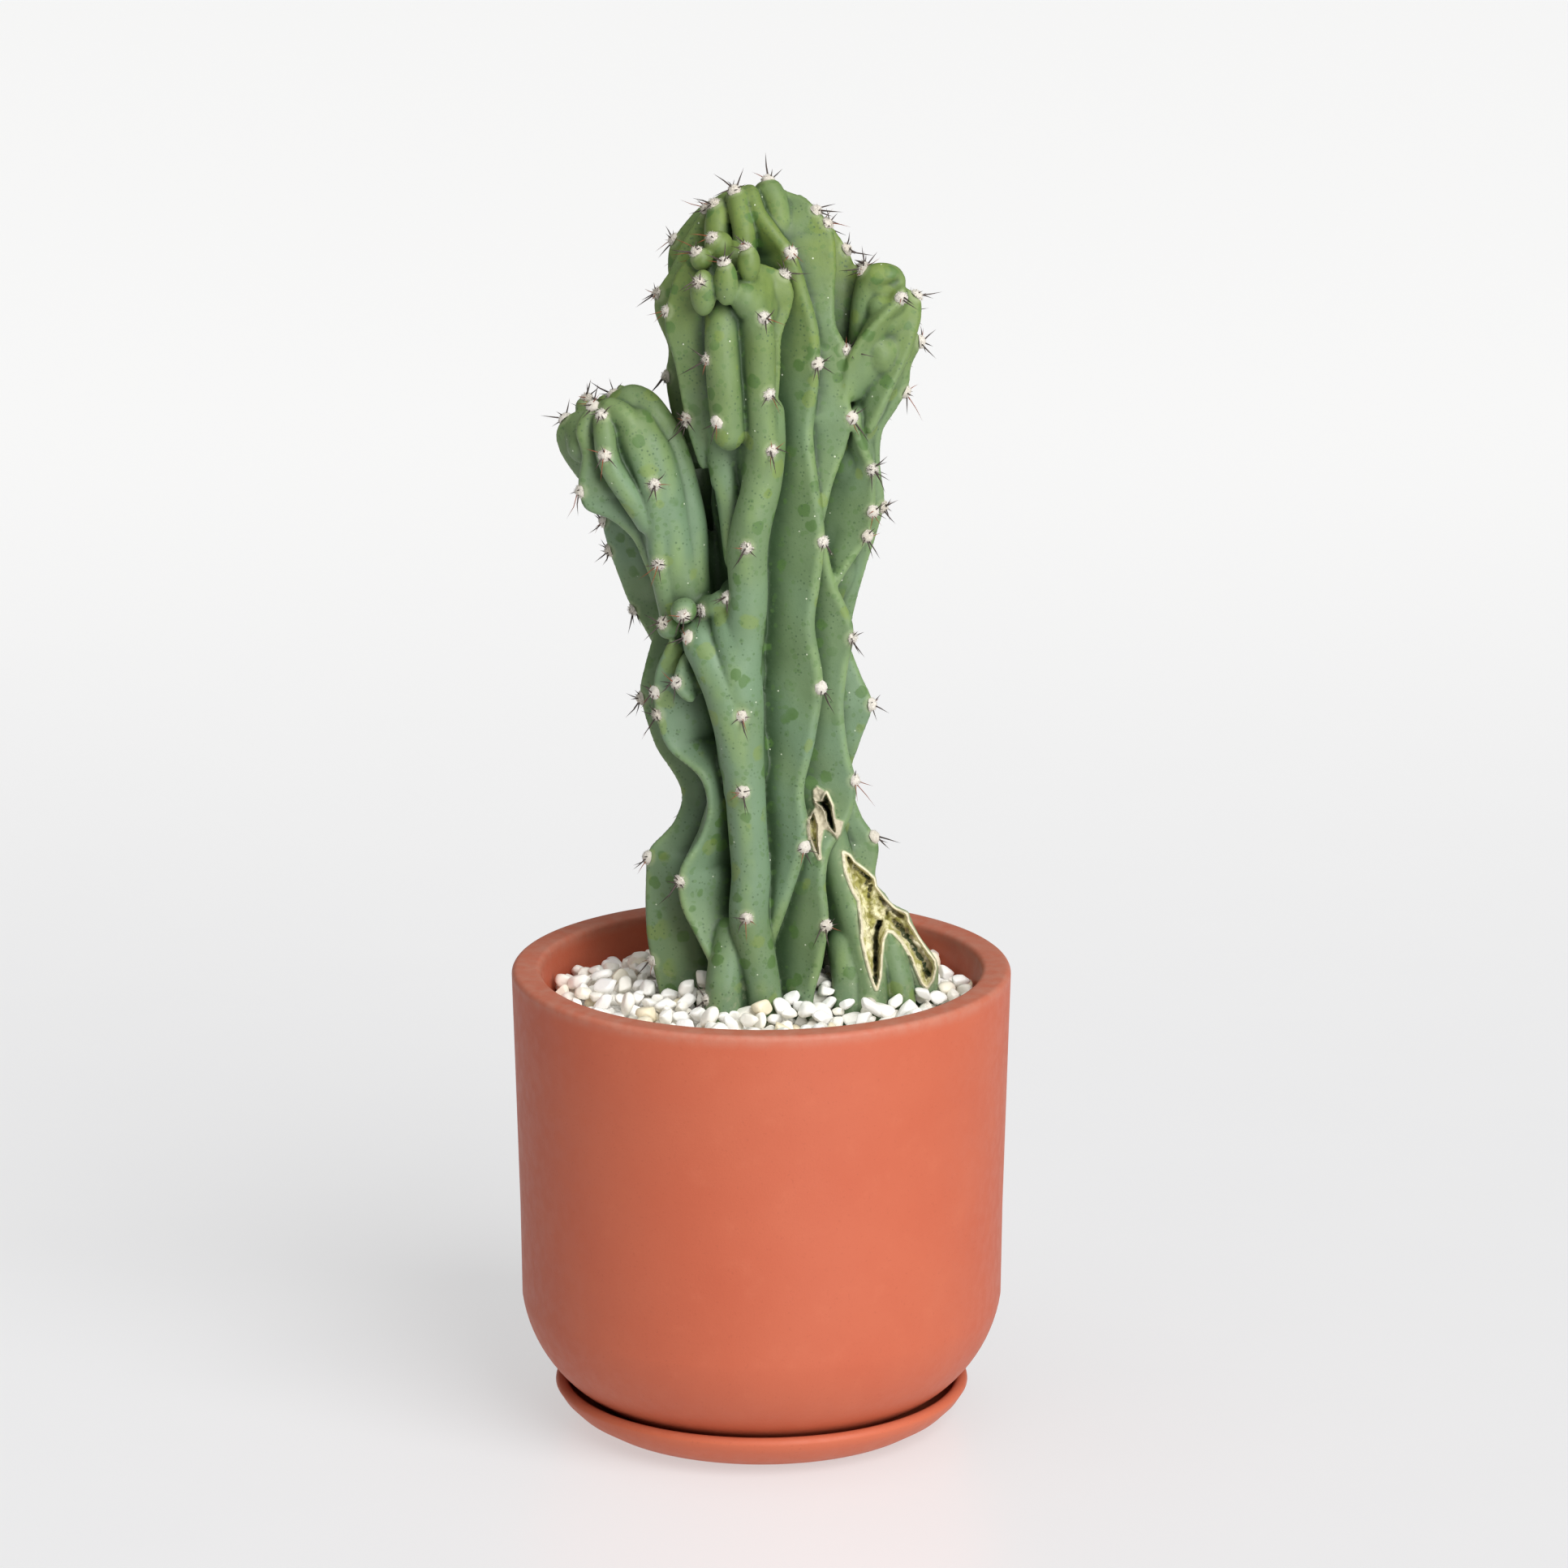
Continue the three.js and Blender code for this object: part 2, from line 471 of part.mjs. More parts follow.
function spineSolid({ at, out }, turn, lean, length) {
  const aside = new THREE.Vector3(-out.y, out.x, 0.001).normalize().applyAxisAngle(out, turn);
  const direction = out.clone().addScaledVector(aside, lean).normalize();
  if (at.z + length * direction.z < SPINE_FLOOR) {
    direction.z = Math.abs(direction.z);
  }
  const geometry = new THREE.ConeGeometry(SPINE_RADIUS, length, 3);
  geometry.translate(0, length / 2 - SPINE_SINK, 0);
  const up = new THREE.Vector3(0, 1, 0);
  geometry.applyQuaternion(new THREE.Quaternion().setFromUnitVectors(up, direction));
  geometry.translate(at.x, at.y, at.z);
  return toSolid(geometry);
}

// Tears: healed splits in the skin, cut as grooves along [x, y, z, half width]
const TEARS = [
  [[17.5, -18, 206, 0.8], [20.5, -17, 201, 1.8], [22, -16, 195, 1.7], [23.5, -15, 191, 0.6]],
  [[15.2, -20, 198, 0.6], [16, -20, 192, 1.2], [17, -20, 187, 0.8]],
  [[26, -12, 184, 0.8], [29, -11, 175, 2.6], [32, -12, 165, 2.2], [33.5, -14, 155, 1.8],
    [35.5, -15, 146, 0.9]],
  [[33, -6, 171, 1.8], [39, -6, 162, 1.8], [45, -6, 153, 1.8], [51, -6, 146, 1.8]],
];
const TEAR_DEPTH = 7;
const TEAR_TAPER = 0.6;

function tearSolid(tear) {
  const rings = tear.map(([x, y, z, half], i) => {
    const before = tear[Math.max(i - 1, 0)];
    const after = tear[Math.min(i + 1, tear.length - 1)];
    const along = new THREE.Vector3(after[0] - before[0], 0, after[2] - before[2]).normalize();
    const side = new THREE.Vector3(0, 1, 0).cross(along);
    const centre = new THREE.Vector3(x, y, z);
    const deep = new THREE.Vector3(0, TEAR_DEPTH, 0);
    return [
      centre.clone().addScaledVector(side, -half).sub(deep),
      centre.clone().addScaledVector(side, half).sub(deep),
      centre.clone().addScaledVector(side, half * TEAR_TAPER).add(deep),
      centre.clone().addScaledVector(side, -half * TEAR_TAPER).add(deep),
    ];
  });
  return toSolid(loft(rings));
}

// Everything of a body but its outer skin is dropped: hollows that joining sealed, and loose crumbs
function outerSkin(solid) {
  const mesh = solid.getMesh();
  const corners = mesh.triVerts;
  const points = mesh.vertProperties;
  const leader = Array.from({ length: points.length / 3 }, (_, i) => i);
  const find = (start) => {
    let i = start;
    while (leader[i] !== i) {
      leader[i] = leader[leader[i]];
      i = leader[i];
    }
    return i;
  };
  for (let t = 0; t < corners.length; t += 3) {
    leader[find(corners[t + 1])] = find(corners[t]);
    leader[find(corners[t + 2])] = find(corners[t]);
  }
  const volumes = new Map();
  const [a, b, c] = [new THREE.Vector3(), new THREE.Vector3(), new THREE.Vector3()];
  for (let t = 0; t < corners.length; t += 3) {
    [a, b, c].forEach((corner, k) => corner.fromArray(points, 3 * corners[t + k]));
    const root = find(corners[t]);
    volumes.set(root, (volumes.get(root) ?? 0) + a.dot(b.cross(c)) / 6);
  }
  const [largest] = [...volumes.entries()].reduce((best, entry) => (entry[1] > best[1] ? entry : best));
  const kept = [];
  for (let t = 0; t < corners.length; t += 3) {
    if (find(corners[t]) === largest) {
      kept.push(corners[t], corners[t + 1], corners[t + 2]);
    }
  }
  const geometry = new THREE.BufferGeometry();
  geometry.setAttribute('position', new THREE.BufferAttribute(new Float32Array(points), 3));
  geometry.setIndex(kept);
  return toSolid(geometry.toNonIndexed());
}

// The plant above the soil, torn, felted and spined, on a plain root core that stands in the soil
const ROOT_BACK = 10;
const ROOT_CORE = [[0, ROOT_BACK, 100, 12], [0, ROOT_BACK, 112, 19], [0, ROOT_BACK, 135, 20]];
const WORLD = 600;
const PLANT_SEED = 7;

function aboveGround() {
  const geometry = new THREE.BoxGeometry(WORLD, WORLD, WORLD);
  geometry.translate(0, 0, SOIL_TOP + GAP + WORLD / 2);
  return toSolid(geometry);
}

function cactusSolid() {
  const random = randomFrom(PLANT_SEED);
  const flesh = outerSkin(join([
    ...Object.values(STEMS).map((stem) => stemSolid(stem)),
    ...RIBS.map((rib) => ribSolid(rib)),
    ...LUMPS.map(lumpSolid),
  ]));
  const torn = cutAway(flesh.intersect(aboveGround()), TEARS.map(tearSolid));
  const places = areolePlaces();
  const spines = places.flatMap((place, n) => {
    const count = SPINES_EACH[n % SPINES_EACH.length];
    return Array.from({ length: count }, (_, i) => {
      const turn = 2 * Math.PI * (i + random()) / count;
      const length = THREE.MathUtils.lerp(...SPINE_LENGTHS, random());
      const lean = THREE.MathUtils.lerp(...SPINE_LEANS, random());
      return spineSolid(place, turn, lean, length);
    });
  });
  return outerSkin(join([torn, stemSolid(ROOT_CORE), ...places.map(feltSolid), ...spines]));
}

// Soil: fills the pot round a plain hole for the root core
const ROOT_HOLE = 21;
const HOLE_SIDES = 16;
const HOLE_DEPTH = 28;
const SOIL_FLOOR = SAUCER_FLOOR + FLOOR_THICKNESS;

function soilSolid() {
  const corner = cornerArc(INNER_CORNER - GAP, INNER_STEPS);
  const wall = innerRadius(SOIL_TOP) - GAP;
  const bottom = [[0, SOIL_FLOOR], [POT_FOOT, SOIL_FLOOR]];
  const body = turned([...bottom, ...corner, [wall, SOIL_TOP], [0, SOIL_TOP]]);
  const hole = new THREE.CylinderGeometry(ROOT_HOLE, ROOT_HOLE, 2 * HOLE_DEPTH, HOLE_SIDES);
  hole.rotateX(Math.PI / 2);
  hole.translate(0, ROOT_BACK, SOIL_TOP);
  return body.subtract(toSolid(hole));
}

// Gravel: a layer of white pebbles on the soil, laid in rings, open where the plant comes up
const PEBBLE_RADIUS = 6.6;
const PEBBLE_SHAPE = [1, 0.88, 0.7];
const PEBBLE_SPACING = 13;
const PEBBLE_SHIFT = 0.3;
const PEBBLE_LIFT = 2.2;
const PEBBLE_RINGS = [60, 48, 36, 24];
const PLANT_CLEAR = 21;
const NEAR_GROUND = 150;
const GRAVEL_SEED = 11;

function pebbleSolid(x, y, random) {
  const geometry = new THREE.IcosahedronGeometry(PEBBLE_RADIUS, 0);
  geometry.rotateX(Math.PI * random());
  geometry.scale(...PEBBLE_SHAPE);
  geometry.rotateZ(2 * Math.PI * random());
  geometry.translate(x, y, GRAVEL_TOP + PEBBLE_LIFT * random());
  return toSolid(geometry);
}

function gravelSolid() {
  const random = randomFrom(GRAVEL_SEED);
  const wall = innerRadius(SOIL_TOP) - GAP;
  const bed = turned([[0, SOIL_TOP], [wall, SOIL_TOP], [wall, GRAVEL_TOP], [0, GRAVEL_TOP]]);
  const pebbles = [];
  for (const ring of PEBBLE_RINGS) {
    const count = Math.round(2 * Math.PI * ring / PEBBLE_SPACING);
    for (let i = 0; i < count; i += 1) {
      const angle = 2 * Math.PI * (i + PEBBLE_SHIFT * random()) / count;
      const spot = new THREE.Vector3(ring * Math.cos(angle), ring * Math.sin(angle), GRAVEL_TOP);
      const toPlant = Object.values(STEMS).map((stem) => nearestOnStem(stem, spot).distanceTo(spot));
      if (Math.min(...toPlant) > PLANT_CLEAR) {
        pebbles.push(pebbleSolid(spot.x, spot.y, random));
      }
    }
  }
  const lowRibs = RIBS.filter((rib) => rib.points.some((point) => point[2] < NEAR_GROUND));
  const plant = [STEMS.trunk, STEMS.buttress, ROOT_CORE].map((stem) => stemSolid(stem, GAP));
  const ribs = lowRibs.map((rib) => ribSolid(rib, GAP));
  return outerSkin(cutAway(join([bed, ...pebbles]), [...plant, ...ribs]));
}

const group = new THREE.Group();

function addPart(name, solid, finish) {
  const mesh = new THREE.Mesh(toGeometry(solid), new THREE.MeshStandardMaterial(finish));
  mesh.name = name;
  group.add(mesh);
}

addPart('saucer', saucerSolid(), TERRACOTTA);
addPart('pot', potSolid(), TERRACOTTA);
addPart('soil', soilSolid(), SOIL);
addPart('gravel', gravelSolid(), PEBBLES);
addPart('cactus', cactusSolid(), CACTUS);

export default group;
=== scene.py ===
# A monstrose Peruvian apple cactus in a terracotta pot on its saucer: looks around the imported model.
# Metres, +Z up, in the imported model's frame. The tables below are in millimetres and are scaled by MM.

import math

import bpy
import numpy as np
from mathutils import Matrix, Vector, kdtree


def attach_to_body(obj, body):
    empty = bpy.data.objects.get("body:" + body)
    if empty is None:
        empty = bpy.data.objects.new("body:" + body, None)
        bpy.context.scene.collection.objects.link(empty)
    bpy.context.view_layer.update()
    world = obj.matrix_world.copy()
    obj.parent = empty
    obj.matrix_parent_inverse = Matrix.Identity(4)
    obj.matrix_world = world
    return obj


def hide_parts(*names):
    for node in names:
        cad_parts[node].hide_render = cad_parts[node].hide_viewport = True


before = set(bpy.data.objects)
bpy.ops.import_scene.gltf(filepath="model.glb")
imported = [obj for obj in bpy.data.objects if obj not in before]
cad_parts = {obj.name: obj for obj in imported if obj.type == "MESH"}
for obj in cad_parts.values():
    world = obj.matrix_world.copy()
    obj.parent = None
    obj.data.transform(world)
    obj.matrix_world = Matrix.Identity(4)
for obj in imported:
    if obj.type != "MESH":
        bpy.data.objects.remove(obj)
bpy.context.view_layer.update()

MM = 0.001

# Driving dimensions of the pot, its saucer and its fill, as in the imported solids
POT_HEIGHT = 141
POT_RADIUS = 77
RIM_WIDTH = 9
RIM_ROUND = 1.8
POT_FOOT = 33
POT_CORNER = 42
POT_SHOULDER = 56
POT_WAIST = 74.6
FLOOR_THICKNESS = 9
DRAIN_RADIUS = 6
SAUCER_RADIUS = 64.4
SAUCER_HEIGHT = 14
SAUCER_FLOOR = 5
SAUCER_WALL = 4
SAUCER_UNDERSIDE = [(0, 0), (45, 0), (53.5, 2.2), (59, 5.5), (62.5, 9)]
SAUCER_DISH = [(57.4, 8.5), (52.9, 6), (47.4, SAUCER_FLOOR), (0, SAUCER_FLOOR)]
SOIL_TOP = 127
POT_RIM = SAUCER_FLOOR + POT_HEIGHT
TURNED_SIDES = 160
GAP = 0.35

# The photograph's camera: a long lens that looks down a little on the plant's best side
CAMERA_TARGET = Vector((0.007, 0, 0.2038))
CAMERA_PITCH = math.radians(14.76)
CAMERA_DISTANCE = 2.239
CAMERA_LENS = 167.7
CAMERA_SENSOR = 36


# Mesh and object helpers
def placed(name, data):
    """A new object of the scene."""
    thing = bpy.data.objects.new(name, data)
    bpy.context.scene.collection.objects.link(thing)
    return thing


def new_object(name, vertices, faces, material):
    """A smooth mesh object from vertices in millimetres."""
    mesh = bpy.data.meshes.new(name)
    mesh.from_pydata((np.asarray(vertices, float) * MM).tolist(), [], faces)
    mesh.shade_smooth()
    mesh.materials.append(material)
    return placed(name, mesh)


def attach(piece, slot_name, *nodes):
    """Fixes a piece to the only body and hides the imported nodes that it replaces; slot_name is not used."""
    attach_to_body(piece, "root")
    if nodes:
        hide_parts(*nodes)


def modify(piece, kind, **settings):
    """Applies one modifier to a piece and keeps it smooth."""
    bpy.context.view_layer.objects.active = piece
    modifier = piece.modifiers.new(kind.lower(), kind)
    for name, value in settings.items():
        setattr(modifier, name, value)
    bpy.ops.object.modifier_apply(modifier=modifier.name)
    piece.data.shade_smooth()


def add_attribute(piece, name, values):
    layer = piece.data.attributes.new(name, "FLOAT", "POINT")
    layer.data.foreach_set("value", np.asarray(values, np.float32))


def points_of(piece):
    """A piece's vertices in millimetres."""
    places = np.zeros(3 * len(piece.data.vertices))
    piece.data.vertices.foreach_get("co", places)
    return places.reshape(-1, 3) / MM


class Soup:
    """Gathers many small shapes into one mesh."""

    def __init__(self):
        self.vertices = []
        self.faces = []
        self.tints = []
        self.count = 0

    def add(self, vertices, faces, tint=0.0):
        self.vertices.append(vertices)
        self.faces.extend((np.asarray(faces) + self.count).tolist())
        self.tints.append(np.full(len(vertices), tint))
        self.count += len(vertices)

    def build(self, name, material):
        piece = new_object(name, np.vstack(self.vertices), self.faces, material)
        add_attribute(piece, "tint", np.concatenate(self.tints))
        return piece


def unit(vectors):
    return vectors / np.maximum(np.linalg.norm(vectors, axis=-1, keepdims=True), 1e-9)


# Material helpers
class Finish:
    """A procedural material, built up in steps; most methods give back the output of their step."""

    def __init__(self, name, roughness, **sockets):
        self.material = bpy.data.materials.new(name)
        self.material.use_nodes = True
        self.nodes = self.material.node_tree.nodes
        self.links = self.material.node_tree.links
        self.surface = self.nodes["Principled BSDF"]
        self.surface.inputs["Roughness"].default_value = roughness
        for socket, value in sockets.items():
            self.surface.inputs[socket.replace("_", " ")].default_value = value
        self.place = self.nodes.new("ShaderNodeTexCoord").outputs["Object"]
        self.colour = None

    def feed(self, socket, value):
        """Feeds an input with an output, a number, a linear colour or the six digits of a colour."""
        if isinstance(value, bpy.types.NodeSocket):
            self.links.new(value, socket)
        elif isinstance(value, str):
            socket.default_value = (*shade(value), 1)
        elif socket.type == "RGBA":
            socket.default_value = (*value, 1)
        else:
            socket.default_value = value

    def node(self, kind, output, inputs, **settings):
        """Adds a node with its settings and its inputs fed, and gives back one of its outputs."""
        node = self.nodes.new("ShaderNode" + kind)
        for name, value in settings.items():
            setattr(node, name, value)
        for name, value in inputs.items():
            self.feed(node.inputs[name], value)
        return node.outputs[output]

    def noise(self, size, detail=3, rough=0.5, warp=0.0, stretch=(1, 1, 1)):
        """Cloudy noise whose patches are about size millimetres across."""
        inputs = {"Vector": self.stretched(stretch), "Scale": 1 / (size * MM), "Detail": detail}
        return self.node("TexNoise", "Fac", inputs | {"Roughness": rough, "Distortion": warp})

    def cells(self, size, output="Distance", vector=None):
        """Cells about size millimetres apart: the distance to each one's middle, or its random colour."""
        return self.node("TexVoronoi", output, {"Vector": vector or self.place, "Scale": 1 / (size * MM)})

    def spots(self, size, largest, vector):
        """Round spots in about half of the cells, each of its own size, up to a share of the cell."""
        away = self.cells(size, vector=vector)
        reach = self.step(self.cells(size, output="Color", vector=vector), 0.38, 0.62, 0, largest)
        return self.step(self.combine("SUBTRACT", away, reach), -0.06, 0.02, 1, 0)

    def stretched(self, stretch):
        if stretch == (1, 1, 1):
            return self.place
        return self.node("VectorMath", 0, {0: self.place, 1: stretch}, operation="MULTIPLY")

    def shifted(self, size, reach):
        """The object's coordinates, wandering by up to reach millimetres."""
        wander = self.node("TexNoise", "Color", {"Vector": self.place, "Scale": 1 / (size * MM)})
        inputs = {0: wander, 1: (reach * MM,) * 3, 2: self.place}
        return self.node("VectorMath", 0, inputs, operation="MULTIPLY_ADD")

    def step(self, value, low, high, to_low=0.0, to_high=1.0):
        """A soft step from to_low to to_high while value goes from low to high."""
        inputs = dict(enumerate((value, low, high, to_low, to_high)))
        return self.node("MapRange", "Result", inputs, interpolation_type="SMOOTHSTEP")

    def combine(self, operation, first, second):
        return self.node("Math", 0, {0: first, 1: second}, operation=operation)

    def times(self, first, second):
        return self.combine("MULTIPLY", first, second)

    def mix(self, share, first, second):
        return self.node("MixRGB", "Color", {"Fac": share, "Color1": first, "Color2": second})

    def lay(self, share, colour):
        """Lays a colour over the material's colour where share is 1."""
        self.colour = self.mix(share, self.colour, colour)

    def attribute(self, name):
        return self.node("Attribute", "Fac", {}, attribute_name=name)

    def coordinate(self, axis):
        """One of the object's coordinates, in metres."""
        return self.node("SeparateXYZ", axis, {0: self.place})

    def finish(self, bumps, roughness=None):
        """Links the colour and stacks the bumps, each a (height, strength, depth in millimetres)."""
        self.links.new(self.colour, self.surface.inputs["Base Color"])
        if roughness is not None:
            self.links.new(roughness, self.surface.inputs["Roughness"])
        below = {}
        for value, strength, depth in bumps:
            inputs = {"Height": value, "Strength": strength, "Distance": depth * MM}
            below = {"Normal": self.node("Bump", "Normal", inputs | below)}
        self.links.new(below["Normal"], self.surface.inputs["Normal"])
        return self.material


def shade(code):
    """Linear red, green and blue of an sRGB colour written as six hexadecimal digits."""
    parts = (int(code[i : i + 2], 16) / 255 for i in (0, 2, 4))
    return tuple(part / 12.92 if part <= 0.04045 else ((part + 0.055) / 1.055) ** 2.4 for part in parts)


# Camera, lights and floor come first
def add_camera():
    lens = bpy.data.cameras.new("camera")
    lens.lens = CAMERA_LENS
    lens.sensor_width = CAMERA_SENSOR
    camera = placed("camera", lens)
    forward = Vector((0, math.cos(CAMERA_PITCH), -math.sin(CAMERA_PITCH)))
    camera.location = CAMERA_TARGET - CAMERA_DISTANCE * forward
    camera.rotation_euler = forward.to_track_quat("-Z", "Y").to_euler()
    bpy.context.scene.camera = camera


def add_light(name, azimuth, elevation, spread, power):
    """A wide soft light from far away; azimuth is in degrees from the camera's side towards the right."""
    lamp = bpy.data.lights.new(name, "SUN")
    lamp.angle = math.radians(spread)
    lamp.energy = power
    light = placed(name, lamp)
    turn, rise = math.radians(azimuth), math.radians(elevation)
    away = Vector((math.sin(turn) * math.cos(rise), -math.cos(turn) * math.cos(rise), math.sin(rise)))
    light.location = CAMERA_TARGET + away
    light.rotation_euler = (-away).to_track_quat("-Z", "Y").to_euler()


# Soft lights: azimuth, elevation and spread in degrees, and power
LIGHTS = {"key": (36, 36, 46, 2.9), "strip": (28, 3, 16, 1.0), "top": (-20, 78, 80, 1.35)}
WORLD_LIGHT = 0.08

# The floor: half its width, how much it glows, its two near tones, and the tone and reach of its far part
FLOOR_REACH = 8000
FLOOR_GLOW = 0.5
FLOOR_TONES = [(0.335, 0.335, 0.342), (0.35, 0.35, 0.355)]
FAR_TONE = (0.5, 0.5, 0.495)
FAR_FROM, FAR_TO = 0.1, 1.6


def add_floor():
    paper = Finish("studio_floor", 0.35, Emission_Color=(1, 1, 1, 1), Emission_Strength=FLOOR_GLOW)
    paper.colour = paper.mix(paper.noise(60), *FLOOR_TONES)
    paper.lay(paper.step(paper.coordinate("Y"), FAR_FROM, FAR_TO), FAR_TONE)
    material = paper.finish([(paper.noise(1.2), 0.05, 0.1)])
    reach = FLOOR_REACH
    corners = [(-reach, -reach, 0), (reach, -reach, 0), (reach, reach, 0), (-reach, reach, 0)]
    new_object("floor", corners, [(0, 1, 2, 3)], material)


def add_world():
    world = bpy.data.worlds.new("studio")
    world.use_nodes = True
    sky = world.node_tree.nodes["Background"]
    sky.inputs["Color"].default_value = (1, 1, 1, 1)
    sky.inputs["Strength"].default_value = WORLD_LIGHT
    bpy.context.scene.world = world


add_camera()
add_world()
for light_name, settings in LIGHTS.items():
    add_light(light_name, *settings)
add_floor()
bpy.context.scene.view_settings.view_transform = "Standard"


# Stems: the fleshy cores inside the ribs, as (x, y, z, radius) from root to tip
STEMS = {
    "trunk": [(0, 10, 106, 15), (0, 10, 122, 20), (1, 10, 160, 21), (-2, 10, 205, 20), (0, 10, 250, 21),
              (0, 12, 285, 19), (-1, 15, 320, 19), (-1, 15, 362, 18), (-1, 14, 376, 12)],
    "front": [(-3, 2, 262, 13), (-5, -4, 292, 13), (-9, -9, 320, 12), (-10, -11, 350, 13),
              (-10, -12, 369, 9.5)],
    "left": [(-12, 6, 248, 14), (-24, 3, 275, 14), (-35, 0, 296, 12), (-45, -1, 314, 8)],
    "right": [(10, 8, 240, 14), (19, 4, 272, 14), (26, 3, 305, 10.5), (35, 2, 332, 10), (39, 2, 353, 7.5)],
    "buttress": [(10, 8, 195, 14), (20, 5, 170, 14), (32, 3, 148, 12), (37, 2, 118, 11)],
}

